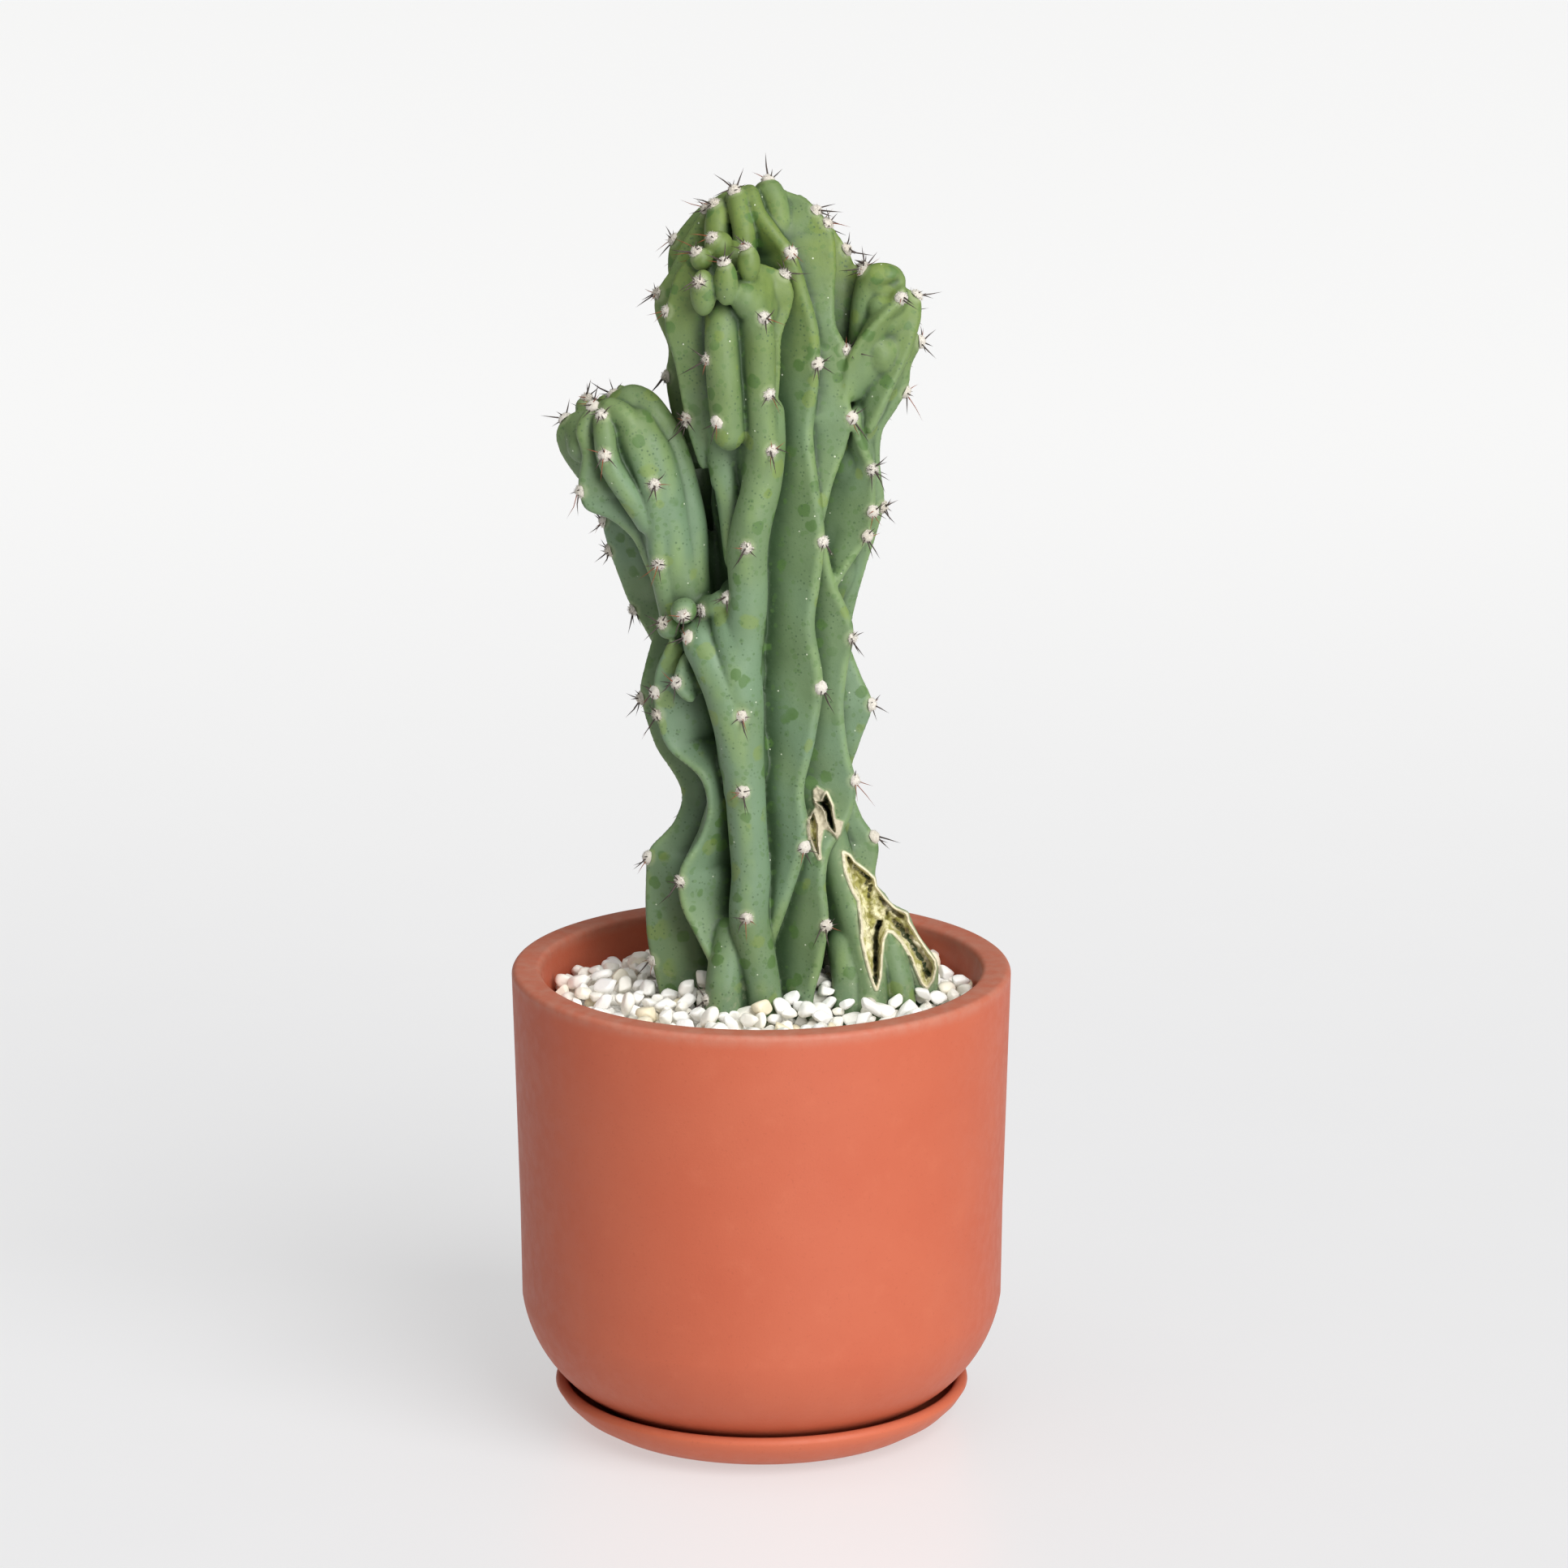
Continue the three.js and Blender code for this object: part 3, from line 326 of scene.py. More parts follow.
# Ribs: stem, half width of the root, radius of the crest, how deep it is rooted, how far its root leans
# to the side in degrees, the heights of the areoles along it (with a turn in degrees where one sits
# beside the crest), and the crest from its upper end
RIBS = [
    # Lower trunk, from the left round the front to the right
    ("trunk", 8, 2.1, 16, 0, [230, 181, 148],
     [(-33, 6, 252), (-36, 4, 240), (-37.5, 4, 231), (-33, 4, 215), (-25, 3, 200), (-27, 2, 192),
      (-35, 0, 183), (-36, 0, 174), (-35.5, -1, 155), (-33, -2, 142), (-29, -2, 122)]),
    ("trunk", 7.5, 1.8, 15, 0, [235, 229, 177],
     [(-28, -14, 252), (-32.5, -12, 241), (-32.5, -12, 230), (-29, -13, 219), (-18, -17, 210),
      (-16, -18, 201), (-19, -18, 191), (-25, -17.5, 180), (-25, -17, 171), (-20, -18, 160),
      (-14, -19, 150)]),
    ("trunk", 7, 6, 14, 0, [(141, 50)],
     [(-11.5, -17, 164), (-12.5, -21.5, 156), (-13.5, -24.5, 147), (-14, -25.5, 137),
      (-14, -25.5, 122)]),
    ("trunk", 5, 6.6, 15, 0, [284, 232, 208, 168],
     [(1.5, -22, 326), (1.5, -25, 313), (0, -26, 302), (-3, -27, 291), (-4.6, -27, 281), (-5, -27, 265),
      (-7, -27, 247), (-6, -27, 232), (-5.5, -26, 208), (-4, -25, 182), (-4.5, -25, 168),
      (-1.5, -24, 152), (0.5, -22, 138), (0.5, -22, 122)]),
    ("trunk", 8, 2.8, 18, -14, [372, 337, 284, 238, 189],
     [(-4, 4, 390), (-2.4, -1, 389), (0.2, -7.5, 383), (4.8, -11, 377), (9.2, -13, 371.5),
      (14, -13.5, 359), (17.5, -14, 346), (17.3, -14, 332),
      (15.5, -14, 317), (17.3, -16, 300), (19.3, -17, 285), (17.5, -18, 270), (16, -18, 258),
      (18.6, -18, 240), (16.5, -19, 223), (13, -19, 206), (14, -19, 193), (11, -19, 180),
      (6, -19, 166), (2, -17, 154)]),
    ("trunk", 8, 2.5, 17, -4, [252, 207, 163],
     [(19, -13, 284), (22.5, -12, 270), (28.3, -10, 255), (26.5, -10, 242), (25.4, -10, 230),
      (27, -10, 216), (29.3, -9, 206), (28, -10, 197), (21, -15, 186), (19.3, -17, 177),
      (20.5, -18, 165), (18.5, -18, 152), (15.5, -18, 140), (15, -18, 122)]),
    ("trunk", 7.5, 2.4, 16, 0, [229, 188],
     [(26, 3, 250), (31, 1, 238), (34.5, 0, 229), (31, 0, 217), (28, 1, 206), (31, -1, 194),
      (36.3, -1, 185), (35.5, -2, 175), (37, -3, 170), (40, -3.5, 167), (45.5, -4, 163.5), (47.5, -4, 159),
      (50, -4, 154.5), (53.5, -3.5, 149.5), (55, -3, 145), (55, -2, 138), (55, -2, 122)]),
    ("buttress", 8.5, 6, 14, 0, [139.5],
     [(23, -10, 192), (26, -10, 180), (28.5, -11, 170), (31, -14, 160), (33, -18, 146), (33, -21, 134),
      (33, -21, 122)]),
    ("buttress", 8, 6, 12, 0, [], [(24, -13, 158), (25, -17, 146), (25, -20, 134), (25, -20, 122)]),
    ("buttress", 7, 5, 12, 0, [],
     [(38, -5, 170), (41, -8, 160), (44, -11, 150), (46, -13, 140), (46, -13, 122)]),
    ("buttress", 9, 7, 12, 0, [],
     [(34.5, 3, 176), (36.5, 3, 170), (39.5, 3, 166), (44, 4, 162), (46.6, 4, 157), (49.3, 4, 152.5),
      (52.6, 4, 147.5), (54.2, 4, 142), (54.2, 4, 122)]),
    # Back of the trunk and main column
    ("trunk", 8, 2.1, 16, 0, [374, 346, 318, 290, 262, 234, 206, 178, 150],
     [(6, 16, 387), (16, 22, 378), (22, 26, 364), (24, 26, 343), (22, 27, 320), (25, 26, 288),
      (23, 25, 258), (25, 24, 232), (24, 25, 202), (28, 25, 166), (28, 24, 122)]),
    ("trunk", 8, 2.1, 16, 0, [366, 338, 310, 280, 252, 222, 194, 164],
     [(3, 20, 387), (9, 32, 380), (11, 40, 367), (10, 43, 348), (13, 43, 324), (9, 43, 296),
      (12, 42, 264), (8, 41, 234), (12, 42, 204), (9, 40, 168), (11, 38, 122)]),
    ("trunk", 8, 2.1, 16, 0, [376, 350, 322, 296, 268, 240, 210, 180, 152],
     [(-4, 20, 387), (-9, 32, 379), (-9, 41, 364), (-8, 43, 342), (-12, 44, 314), (-8, 43, 286),
      (-12, 43, 254), (-9, 42, 226), (-13, 41, 192), (-10, 40, 160), (-11, 38, 122)]),
    ("trunk", 8, 2.1, 16, 0, [362, 334, 306, 276, 248, 220, 190, 160],
     [(-10, 17, 386), (-20, 26, 377), (-24, 32, 362), (-25, 33, 342), (-22, 33, 320), (-27, 31, 286),
      (-25, 31, 258), (-27, 29, 234), (-20, 28, 198), (-25, 27, 176), (-30, 26, 152), (-28, 24, 122)]),
    # Top of the main column
    ("trunk", 6.9, 2.1, 14, 0, [370],
     [(-10, 14, 386), (-17, 15, 382), (-23, 16, 376), (-27.5, 17, 369), (-28.5, 17, 362),
      (-26, 18, 340)]),
    ("trunk", 7.5, 2.1, 15, 0, [382.5, 356.5, 330],
     [(-12, 7, 386.5), (-18, 5, 381), (-23, 4, 373), (-28, 4, 363), (-32, 4, 356), (-32.5, 5, 350),
      (-28.5, 5, 339), (-29.5, 5, 330), (-27, 5, 317), (-22, 5, 302)]),
    ("trunk", 4.4, 4.5, 12, 0, [384.5],
     [(-10, 5, 387), (-14.5, 0, 384.5), (-15.5, -4, 380), (-15.5, -6, 373), (-15, -7, 362)]),
    ("trunk", 4, 4, 11, 0, [389],
     [(-6, 5, 389.5), (-8.2, -1.5, 389), (-7.4, -7, 384), (-6, -10.5, 377.5), (-5.5, -11, 370)]),
    ("trunk", 4.2, 4.6, 12, 0, [390.6],
     [(0.5, 10, 389.5), (3.2, 4, 390.8), (6, -1, 386), (7.4, -5, 380), (8.5, -6, 373)]),
    ("trunk", 8, 2.2, 16, -18, [382.5, 378.5, 340.5, 321],
     [(5, 7, 388), (13, 2, 386), (18, -2, 382), (21.8, -4, 376.5), (23.2, -6, 367), (22.8, -7, 358),
      (23, -8, 348), (26.5, -8, 341), (26.3, -9, 330), (28, -10, 320.5), (26, -10, 311),
      (22, -12, 300), (19, -14, 288)]),
    ("trunk", 7.5, 2.2, 15, 0, [368.5],
     [(13, 11, 385), (21, 9, 377), (26.5, 8, 369), (29.5, 7, 362), (30.5, 5, 353), (29.5, 4, 343),
      (29, 3, 330)]),
    # Front column
    ("front", 6.3, 1.8, 13, 0, [372.5, 354, (321, -30), (320, 30)],
     [(-15, -12, 374), (-21, -14, 371), (-25.5, -15, 366), (-28.5, -15, 357), (-29.3, -15, 350),
      (-26.8, -15, 339), (-24.3, -13, 326), (-22.5, -12, 317), (-19, -10, 305)]),
    ("front", 5.2, 5.7, 12, 0, [(342.5, 60), (322.5, 35)],
     [(-12.5, -23, 357), (-12.6, -26.5, 350), (-12.2, -28, 342), (-11.5, -28.5, 333), (-10.6, -28, 325),
      (-9.8, -26.5, 316)]),
    ("front", 5, 5, 10, 0, [],
     [(-17, -12, 318), (-15.5, -15, 309), (-13.2, -17, 300), (-10.5, -18, 290), (-9, -19, 278)]),
    ("front", 5, 5, 14, 0, [355, 331, 313.5],
     [(-5.5, -22, 362), (-2.5, -25, 359), (1.4, -27, 354.5), (3, -27, 349), (3.2, -27, 338), (3, -26, 328),
      (3.7, -25, 315), (3.5, -25, 307), (0, -25, 298)]),
    ("front", 6.3, 1.8, 14, 0, [365.5],
     [(-3, -12, 369), (4, -14, 367.5), (8.5, -15, 365), (10.5, -16, 360), (9.8, -16, 355),
      (7, -18, 347), (6.5, -18, 336), (5, -17, 322)]),
    # Left branch
    ("left", 5.8, 2.2, 12, 0, [317.5],
     [(-54, 6, 320.5), (-60, 6, 317.5), (-62.5, 6, 312.5), (-61.5, 6, 307), (-57, 6, 300),
      (-50, 6, 291)]),
    ("left", 5.3, 2.4, 12, 0, [324, 298],
     [(-50, -5, 324.5), (-54, -7, 321), (-55.7, -8, 316), (-54, -9, 308), (-55.5, -9, 299),
      (-53.5, -9, 292), (-46, -8, 288), (-39, -6, 282), (-36, -5, 275), (-32.5, -5, 265),
      (-31, -6, 255)]),
    ("left", 4, 4, 11, 0, [322, 311],
     [(-48.3, -11, 322), (-47.8, -15, 316), (-47, -17, 309), (-45.5, -18, 304), (-40, -17.5, 296),
      (-34, -15, 286)]),
    ("left", 6, 4.4, 14, 0, [302, 276],
     [(-46.5, -8, 326), (-41.5, -11, 324.5), (-37.5, -13, 320.5), (-36, -15, 314), (-32.5, -17, 304),
      (-30.8, -17, 295), (-31, -16, 283), (-31, -15, 272), (-29, -13, 258)]),
    ("left", 9, 8, 14, 0, [],
     [(-33, -9.5, 321), (-28.5, -13.5, 312), (-26.3, -15.4, 300), (-25.2, -15.6, 285), (-25, -15.2, 270),
      (-23, -14, 258)]),
    ("left", 6.5, 4.8, 14, 0, [326],
     [(-45, 3, 326), (-39, 1, 329), (-33, -1, 327.5), (-28, -4, 323), (-24, -7, 317), (-21.3, -9, 309),
      (-19, -10, 300), (-17.7, -12, 288), (-18.5, -13, 272), (-19, -13, 258)]),
    ("trunk", 8, 2.2, 18, 0, [284, 274, 255.5],
     [(-43, 9, 292), (-48.5, 12, 284), (-47.5, 12, 277), (-44, 12, 266), (-41, 12, 258), (-36, 9, 250),
      (-31, 8, 241)]),
    ("left", 6.9, 2.1, 13, 0, [318, 300, 284, 268],
     [(-48, 6, 325), (-52, 12, 318), (-51, 17, 306), (-46, 20, 292), (-38, 23, 276), (-31, 25, 262)]),
    ("left", 6.9, 2.1, 13, 0, [306, 288],
     [(-42, 6, 328), (-35, 12, 322), (-30, 16, 310), (-27, 19, 296), (-24, 21, 280), (-20, 22, 268)]),
    # Knob branch on the trunk's left front
    ("trunk", 5.2, 4.6, 13, 0, [262.5],
     [(-20, -15, 262), (-15.5, -20, 263.5), (-10, -22, 266), (-5, -22, 262), (-3, -22, 252)]),
    ("trunk", 7, 6.5, 14, 0, [266.5],
     [(-9.5, -19, 268), (-11.5, -24, 259), (-10, -26.5, 252), (-8.5, -27.5, 245), (-7, -28, 236)]),
    ("trunk", 8, 6.3, 13, 0, [255],
     [(-23.5, -17, 257.5), (-21.8, -22, 253.3), (-18, -25.5, 247), (-14.3, -27.3, 240), (-11.4, -28, 232),
      (-8.8, -27.5, 224), (-7, -26, 214), (-6.3, -24, 204)]),
    ("trunk", 4.4, 2.2, 11, 0, [241],
     [(-23.5, -15, 249), (-26, -18, 243), (-25.8, -19, 238), (-22, -19, 234.5)]),
    # Right branch
    ("right", 4.8, 4.6, 11, 0, [364],
     [(44.3, 0, 361), (42.2, -0.5, 364.4), (38, -1, 366.2), (33, -1, 365.7), (29.5, 0, 363), (27, 0, 355),
      (25.5, -1, 340)]),
    ("right", 6.3, 2, 12, 0, [356.5],
     [(42.5, 1, 361), (43.3, -4, 359.7), (42, -7.5, 355.7), (36.8, -10, 351.5), (31.5, -11, 346.5),
      (27.5, -11, 341.5), (25, -10.5, 335), (24.5, -10, 326)]),
    ("right", 5.8, 2.1, 11, 0, [356],
     [(43, 3, 359), (48.3, 1, 355.5), (48.8, -1, 350), (47, -4, 344), (43.5, -7, 336), (38, -10, 326),
      (33, -10, 316)]),
    ("right", 6.9, 2.1, 14, 0, [342, 326, 291],
     [(45, 4, 347), (48.7, 2, 341.5), (46, 2, 334), (45, 2, 327), (41.5, 1, 320.5), (37.3, 0, 314),
      (36.5, 0, 305), (38, 0, 292), (36, 0.5, 283), (32.5, 1, 271), (28.5, 2, 257), (27, 3, 247)]),
    ("right", 7.5, 2.1, 14, 0, [303.5, 291, 283],
     [(27.5, -10, 321), (30, -10, 312.5), (34, -8, 304), (34.5, -8, 291), (33, -8, 283),
      (27, -10, 275), (22, -12, 268)]),
    ("right", 6.9, 2.1, 13, 0, [350, 334, 318, 300, 282],
     [(42, 6, 361), (45, 11, 352), (43, 14, 340), (38, 16, 326), (33, 17, 310), (33, 17, 294),
      (30, 18, 278), (26, 18, 262)]),
]

# Round lumps that close a tip or sit between ribs: place, radius, height radius and the areole's direction
LUMPS = [
    ((-12.5, -15, 374), 5, 5, (-0.5, -0.5, 0.7)),
    ((-17.5, -18, 370.5), 4, 4, (-0.6, -0.3, 0.8)),
    ((-17, -24, 361.5), 4.5, 8, (-0.3, -0.6, 0.8)),
    ((-10.3, -25.5, 364.9), 4.1, 8, (-0.1, -0.15, 1)),
    ((-3.6, -22.5, 370), 4.1, 6.6, (-0.2, -0.1, 1)),
    ((-53, 7, 320), 4, 4, (0.1, -0.2, 1)),
    ((-23.3, -19, 263), 4.5, 4.5, (0, -1, -0.2)),
    ((30.5, 8, 361), 4, 4, (0.2, -0.4, 0.9)),
    ((-28, -13, 256.5), 4, 4, (-0.5, -0.7, 0.5)),
]

# Deep dark folds between the stems: half width at the mouth, radius at the bottom, depth and the bottom line
FOLDS = [
    (1.7, 0.8, 16, [(-15.5, -6, 298), (-14, -6, 288), (-12.5, -8, 278), (-11.6, -10, 270)]),
    (1.0, 0.5, 8, [(43, -2, 361.5), (38, -4, 359.5), (33, -5, 358.5), (30, -5, 355)]),
]

# Sculpting grid: distances to the plant's skin, in millimetres, negative inside the flesh. FAR is the
# value of empty places, BAND how far round a body its distances are worked out, UNREACHED their start
# value, and LAST_CELL keeps sampled places inside the grid's end
VOXEL = 0.78
GRID_LOW = (-72, -44, 112)
GRID_HIGH = (64, 54, 402)
FAR = 12.0
BAND = 4.0
UNREACHED = 1000.0
LAST_CELL = 1.001

# The shape of stems and ribs: ribs with a wide crest are lobes, which swell more
STATION_STEP = 1.5
STEM_SHARE = 0.72
LOBE_RADIUS = 4
LOBE_FULLNESS = 0.6
RIB_FULLNESS = 0.1
END_SCALE = 0.5
END_ROUNDNESS = 0.35
STEEPEST_SLOPE = 0.01

# How wide the valleys between joined bodies are smoothed
STEM_SMOOTHING = 5.0
RIB_SMOOTHING = 0.6
TIP_SMOOTHING = 0.2
TIP_HEIGHT = 330
FOLD_SMOOTHING = 1.2

# The finished skin: how far it lies inside the drawn bodies, and its slow swellings as height, wave
# lengths and shifts along the three axes
SKIN_INSET = 0.5
SWELLINGS = [(0.22, (3.1, 3.7, 4.9), (1, 0, 0)), (0.25, (6.3, 5.1, 9.7), (0, 2, 1))]
RELAX_ROUNDS = 2
GROUND_CUT = SOIL_TOP + 0.5


class Grid:
    """A block of distances with the places of its cells."""

    def __init__(self, low, high, voxel):
        self.low = np.array(low, float)
        self.voxel = voxel
        self.shape = np.ceil((np.array(high) - self.low) / voxel).astype(int) + 1
        self.values = np.full(self.shape, FAR, np.float32)
        self.axes = [(self.low[i] + voxel * np.arange(self.shape[i])).astype(np.float32) for i in range(3)]

    def window(self, low, high):
        first = np.clip(np.floor((low - self.low) / self.voxel).astype(int), 0, self.shape - 1)
        last = np.clip(np.ceil((high - self.low) / self.voxel).astype(int) + 1, first + 1, self.shape)
        return tuple(slice(a, b) for a, b in zip(first, last))

    def places(self, window):
        x, y, z = (axis[part] for axis, part in zip(self.axes, window))
        return x[:, None, None], y[None, :, None], z[None, None, :]

    def all_places(self):
        return self.places((slice(None),) * 3)

    def sample(self, points, values=None):
        """Values at any points, by straight steps between the cells."""
        values = self.values if values is None else values
        spot = np.clip((points - self.low) / self.voxel, 0, self.shape - LAST_CELL)
        low = spot.astype(int)
        share = spot - low
        total = np.zeros(len(points))
        for dx, dy, dz in CORNERS:
            weight = np.abs(1 - dx - share[:, 0]) * np.abs(1 - dy - share[:, 1])
            weight = weight * np.abs(1 - dz - share[:, 2])
            total += weight * values[low[:, 0] + dx, low[:, 1] + dy, low[:, 2] + dz]
        return total

    def outward(self, points, reach=1.0):
        """Unit directions out of the flesh at points."""
        slopes = []
        for axis in range(3):
            step = np.zeros(3)
            step[axis] = reach
            slopes.append(self.sample(points + step) - self.sample(points - step))
        return unit(np.stack(slopes, 1))


CORNERS = np.array([(a, b, c) for a in (0, 1) for b in (0, 1) for c in (0, 1)])
CELL_EDGES = [(i, j) for i in range(8) for j in range(i + 1, 8) if np.abs(CORNERS[i] - CORNERS[j]).sum() == 1]


def capsule(places, start, end, start_radius, end_radius, fullness=0.0):
    """Distances to a cone with round ends; fullness swells its flanks between the two."""
    x, y, z = places
    length = float(np.linalg.norm(end - start))
    way = ((end - start) / length).astype(np.float32)
    px, py, pz = x - start[0], y - start[1], z - start[2]
    along = px * way[0] + py * way[1] + pz * way[2]
    square = px * px + py * py + pz * pz
    aside = np.sqrt(np.maximum(square - along * along, 0))
    narrowing = (start_radius - end_radius) / length
    slope = math.sqrt(max(1 - narrowing * narrowing, STEEPEST_SLOPE))
    station = slope * along - narrowing * aside
    share = np.clip(along / length, 0, 1)
    swelling = fullness * (end_radius - start_radius) * share * (1 - share)
    near_start = np.sqrt(square) - start_radius
    near_end = np.sqrt(aside * aside + (along - length) ** 2) - end_radius
    flank = slope * aside + narrowing * along - start_radius
    away = np.where(station < 0, near_start, np.where(station > slope * length, near_end, flank))
    return away - swelling


def blend(first, second, smoothing):
    """Joins two blocks of distances with a soft valley between them."""
    overlap = np.maximum(smoothing - np.abs(first - second), 0) / smoothing
    return np.minimum(first, second) - overlap * overlap * (smoothing / 4)


def smooth_line(points, step):
    """Points every step along a centripetal Catmull-Rom curve."""
    points = np.array(points, float)
    ends = np.vstack([2 * points[0] - points[1], points, 2 * points[-1] - points[-2]])
    line = []
    for p0, p1, p2, p3 in zip(ends, ends[1:], ends[2:], ends[3:]):
        pairs = ((p0, p1), (p1, p2), (p2, p3))
        d0, d1, d2 = (max(math.sqrt(np.linalg.norm(b - a)), 1e-3) for a, b in pairs)
        leave = d1 * ((p1 - p0) / d0 - (p2 - p0) / (d0 + d1) + (p2 - p1) / d1)
        reach = d1 * ((p2 - p1) / d1 - (p3 - p1) / (d1 + d2) + (p3 - p2) / d2)
        count = max(2, math.ceil(np.linalg.norm(p2 - p1) / step))
        t = (np.arange(count) / count)[:, None]
        line.append(
            (2 * t**3 - 3 * t**2 + 1) * p1 + (t**3 - 2 * t**2 + t) * leave
            + (3 * t**2 - 2 * t**3) * p2 + (t**3 - t**2) * reach
        )
    line.append(points[-1:])
    return np.vstack(line)


def nearest_on_stem(stem, points):
    """The nearest points of a stem's centre line."""
    line = np.array(STEMS[stem], float)[:, :3]
    best = np.zeros_like(points)
    best_away = np.full(len(points), np.inf)
    for start, end in zip(line, line[1:]):
        share = np.clip((points - start) @ (end - start) / ((end - start) @ (end - start)), 0, 1)
        spot = start + share[:, None] * (end - start)
        away = np.linalg.norm(points - spot, axis=1)
        best = np.where((away < best_away)[:, None], spot, best)
        best_away = np.minimum(away, best_away)
    return best


def turned_about(vectors, axes, degrees):
    """Vectors square to their axes, turned about them."""
    angle = math.radians(degrees)
    return vectors * math.cos(angle) + np.cross(axes, vectors) * math.sin(angle)


def rib_frames(stem, points):
    """Crest points with the directions along the rib and into its stem."""
    crest = smooth_line(points, STATION_STEP)
    along = unit(np.gradient(crest, axis=0))
    inward = nearest_on_stem(stem, crest) - crest
    inward -= along * np.sum(inward * along, axis=1, keepdims=True)
    return crest, along, unit(inward)


def swept(grid, starts, ends, start_radii, end_radii, fullness):
    """The window and the distances of a body of capsules swept side by side."""
    reach = max(start_radii.max(), end_radii.max()) + BAND
    whole = grid.window(np.minimum(starts, ends).min(0) - reach, np.maximum(starts, ends).max(0) + reach)
    block = np.full([part.stop - part.start for part in whole], UNREACHED, np.float32)
    for start, end, start_radius, end_radius in zip(starts, ends, start_radii, end_radii):
        part = grid.window(np.minimum(start, end) - reach, np.maximum(start, end) + reach)
        inner = tuple(slice(p.start - w.start, p.stop - w.start) for p, w in zip(part, whole))
        near = capsule(grid.places(part), start, end, start_radius, end_radius, fullness)
        np.minimum(block[inner], near, out=block[inner])
    return whole, block


def add_rib(grid, rib):
    """Joins a wall to the flesh that runs from a rounded crest to a wider root in the stem."""
    stem, width, crest_radius, depth, lean, _, points = rib
    crest, along, inward = rib_frames(stem, points)
    inward = turned_about(inward, along, lean)
    length = np.concatenate([[0], np.cumsum(np.linalg.norm(np.diff(crest, axis=0), axis=1))])
    from_end = np.minimum(length, length[-1] - length)
    scale = END_SCALE + (1 - END_SCALE) * np.clip(from_end / width, 0, 1) ** 0.5
    crest_radii = np.minimum(crest_radius, crest_radius * (scale + END_ROUNDNESS))
    start = crest + inward * crest_radius
    end = crest + inward * depth
    fullness = LOBE_FULLNESS if crest_radius >= LOBE_RADIUS else RIB_FULLNESS
    window, near = swept(grid, start, end, crest_radii, width * scale, fullness)
    smoothing = TIP_SMOOTHING if crest[:, 2].min() > TIP_HEIGHT else RIB_SMOOTHING
    grid.values[window] = blend(grid.values[window], near, smoothing)


def add_stem(grid, stem):
    rings = np.array(stem, float)
    for low, high in zip(rings, rings[1:]):
        reach = max(low[3], high[3]) + FAR
        part = grid.window(np.minimum(low, high)[:3] - reach, np.maximum(low, high)[:3] + reach)
        near = capsule(grid.places(part), low[:3], high[:3], low[3] * STEM_SHARE, high[3] * STEM_SHARE)
        grid.values[part] = blend(grid.values[part], near, STEM_SMOOTHING)


def add_lump(grid, lump):
    at, radius, tall, _ = lump
    at = np.array(at, float)
    part = grid.window(at - tall - BAND, at + tall + BAND)
    x, y, z = grid.places(part)
    away = np.sqrt(((x - at[0]) / radius) ** 2 + ((y - at[1]) / radius) ** 2 + ((z - at[2]) / tall) ** 2)
    grid.values[part] = blend(grid.values[part], (away - 1) * radius, TIP_SMOOTHING)


def cut_fold(grid, fold):
    """Cuts a fold from its bottom line straight towards the front."""
    mouth, bottom, depth, points = fold
    deepest = smooth_line(points, STATION_STEP)
    opening = deepest + np.array([0, -depth, 0])
    count = len(deepest)
    window, near = swept(grid, deepest, opening, np.full(count, bottom), np.full(count, mouth), 0)
    grid.values[window] = -blend(-grid.values[window], near, FOLD_SMOOTHING)


def add_unevenness(grid):
    """Slow swellings of the skin, so that no flank is quite even."""
    x, y, z = grid.all_places()
    grid.values += SKIN_INSET
    for height, (wide, deep, tall), (right, back, up) in SWELLINGS:
        grid.values += height * np.sin(x / wide + right) * np.sin(y / deep + back) * np.sin(z / tall + up)


def flesh_grid():
    grid = Grid(GRID_LOW, GRID_HIGH, VOXEL)
    for stem in STEMS.values():
        add_stem(grid, stem)
    for rib in RIBS:
        add_rib(grid, rib)
    for lump in LUMPS:
        add_lump(grid, lump)
    for fold in FOLDS:
        cut_fold(grid, fold)
    add_unevenness(grid)
    return grid


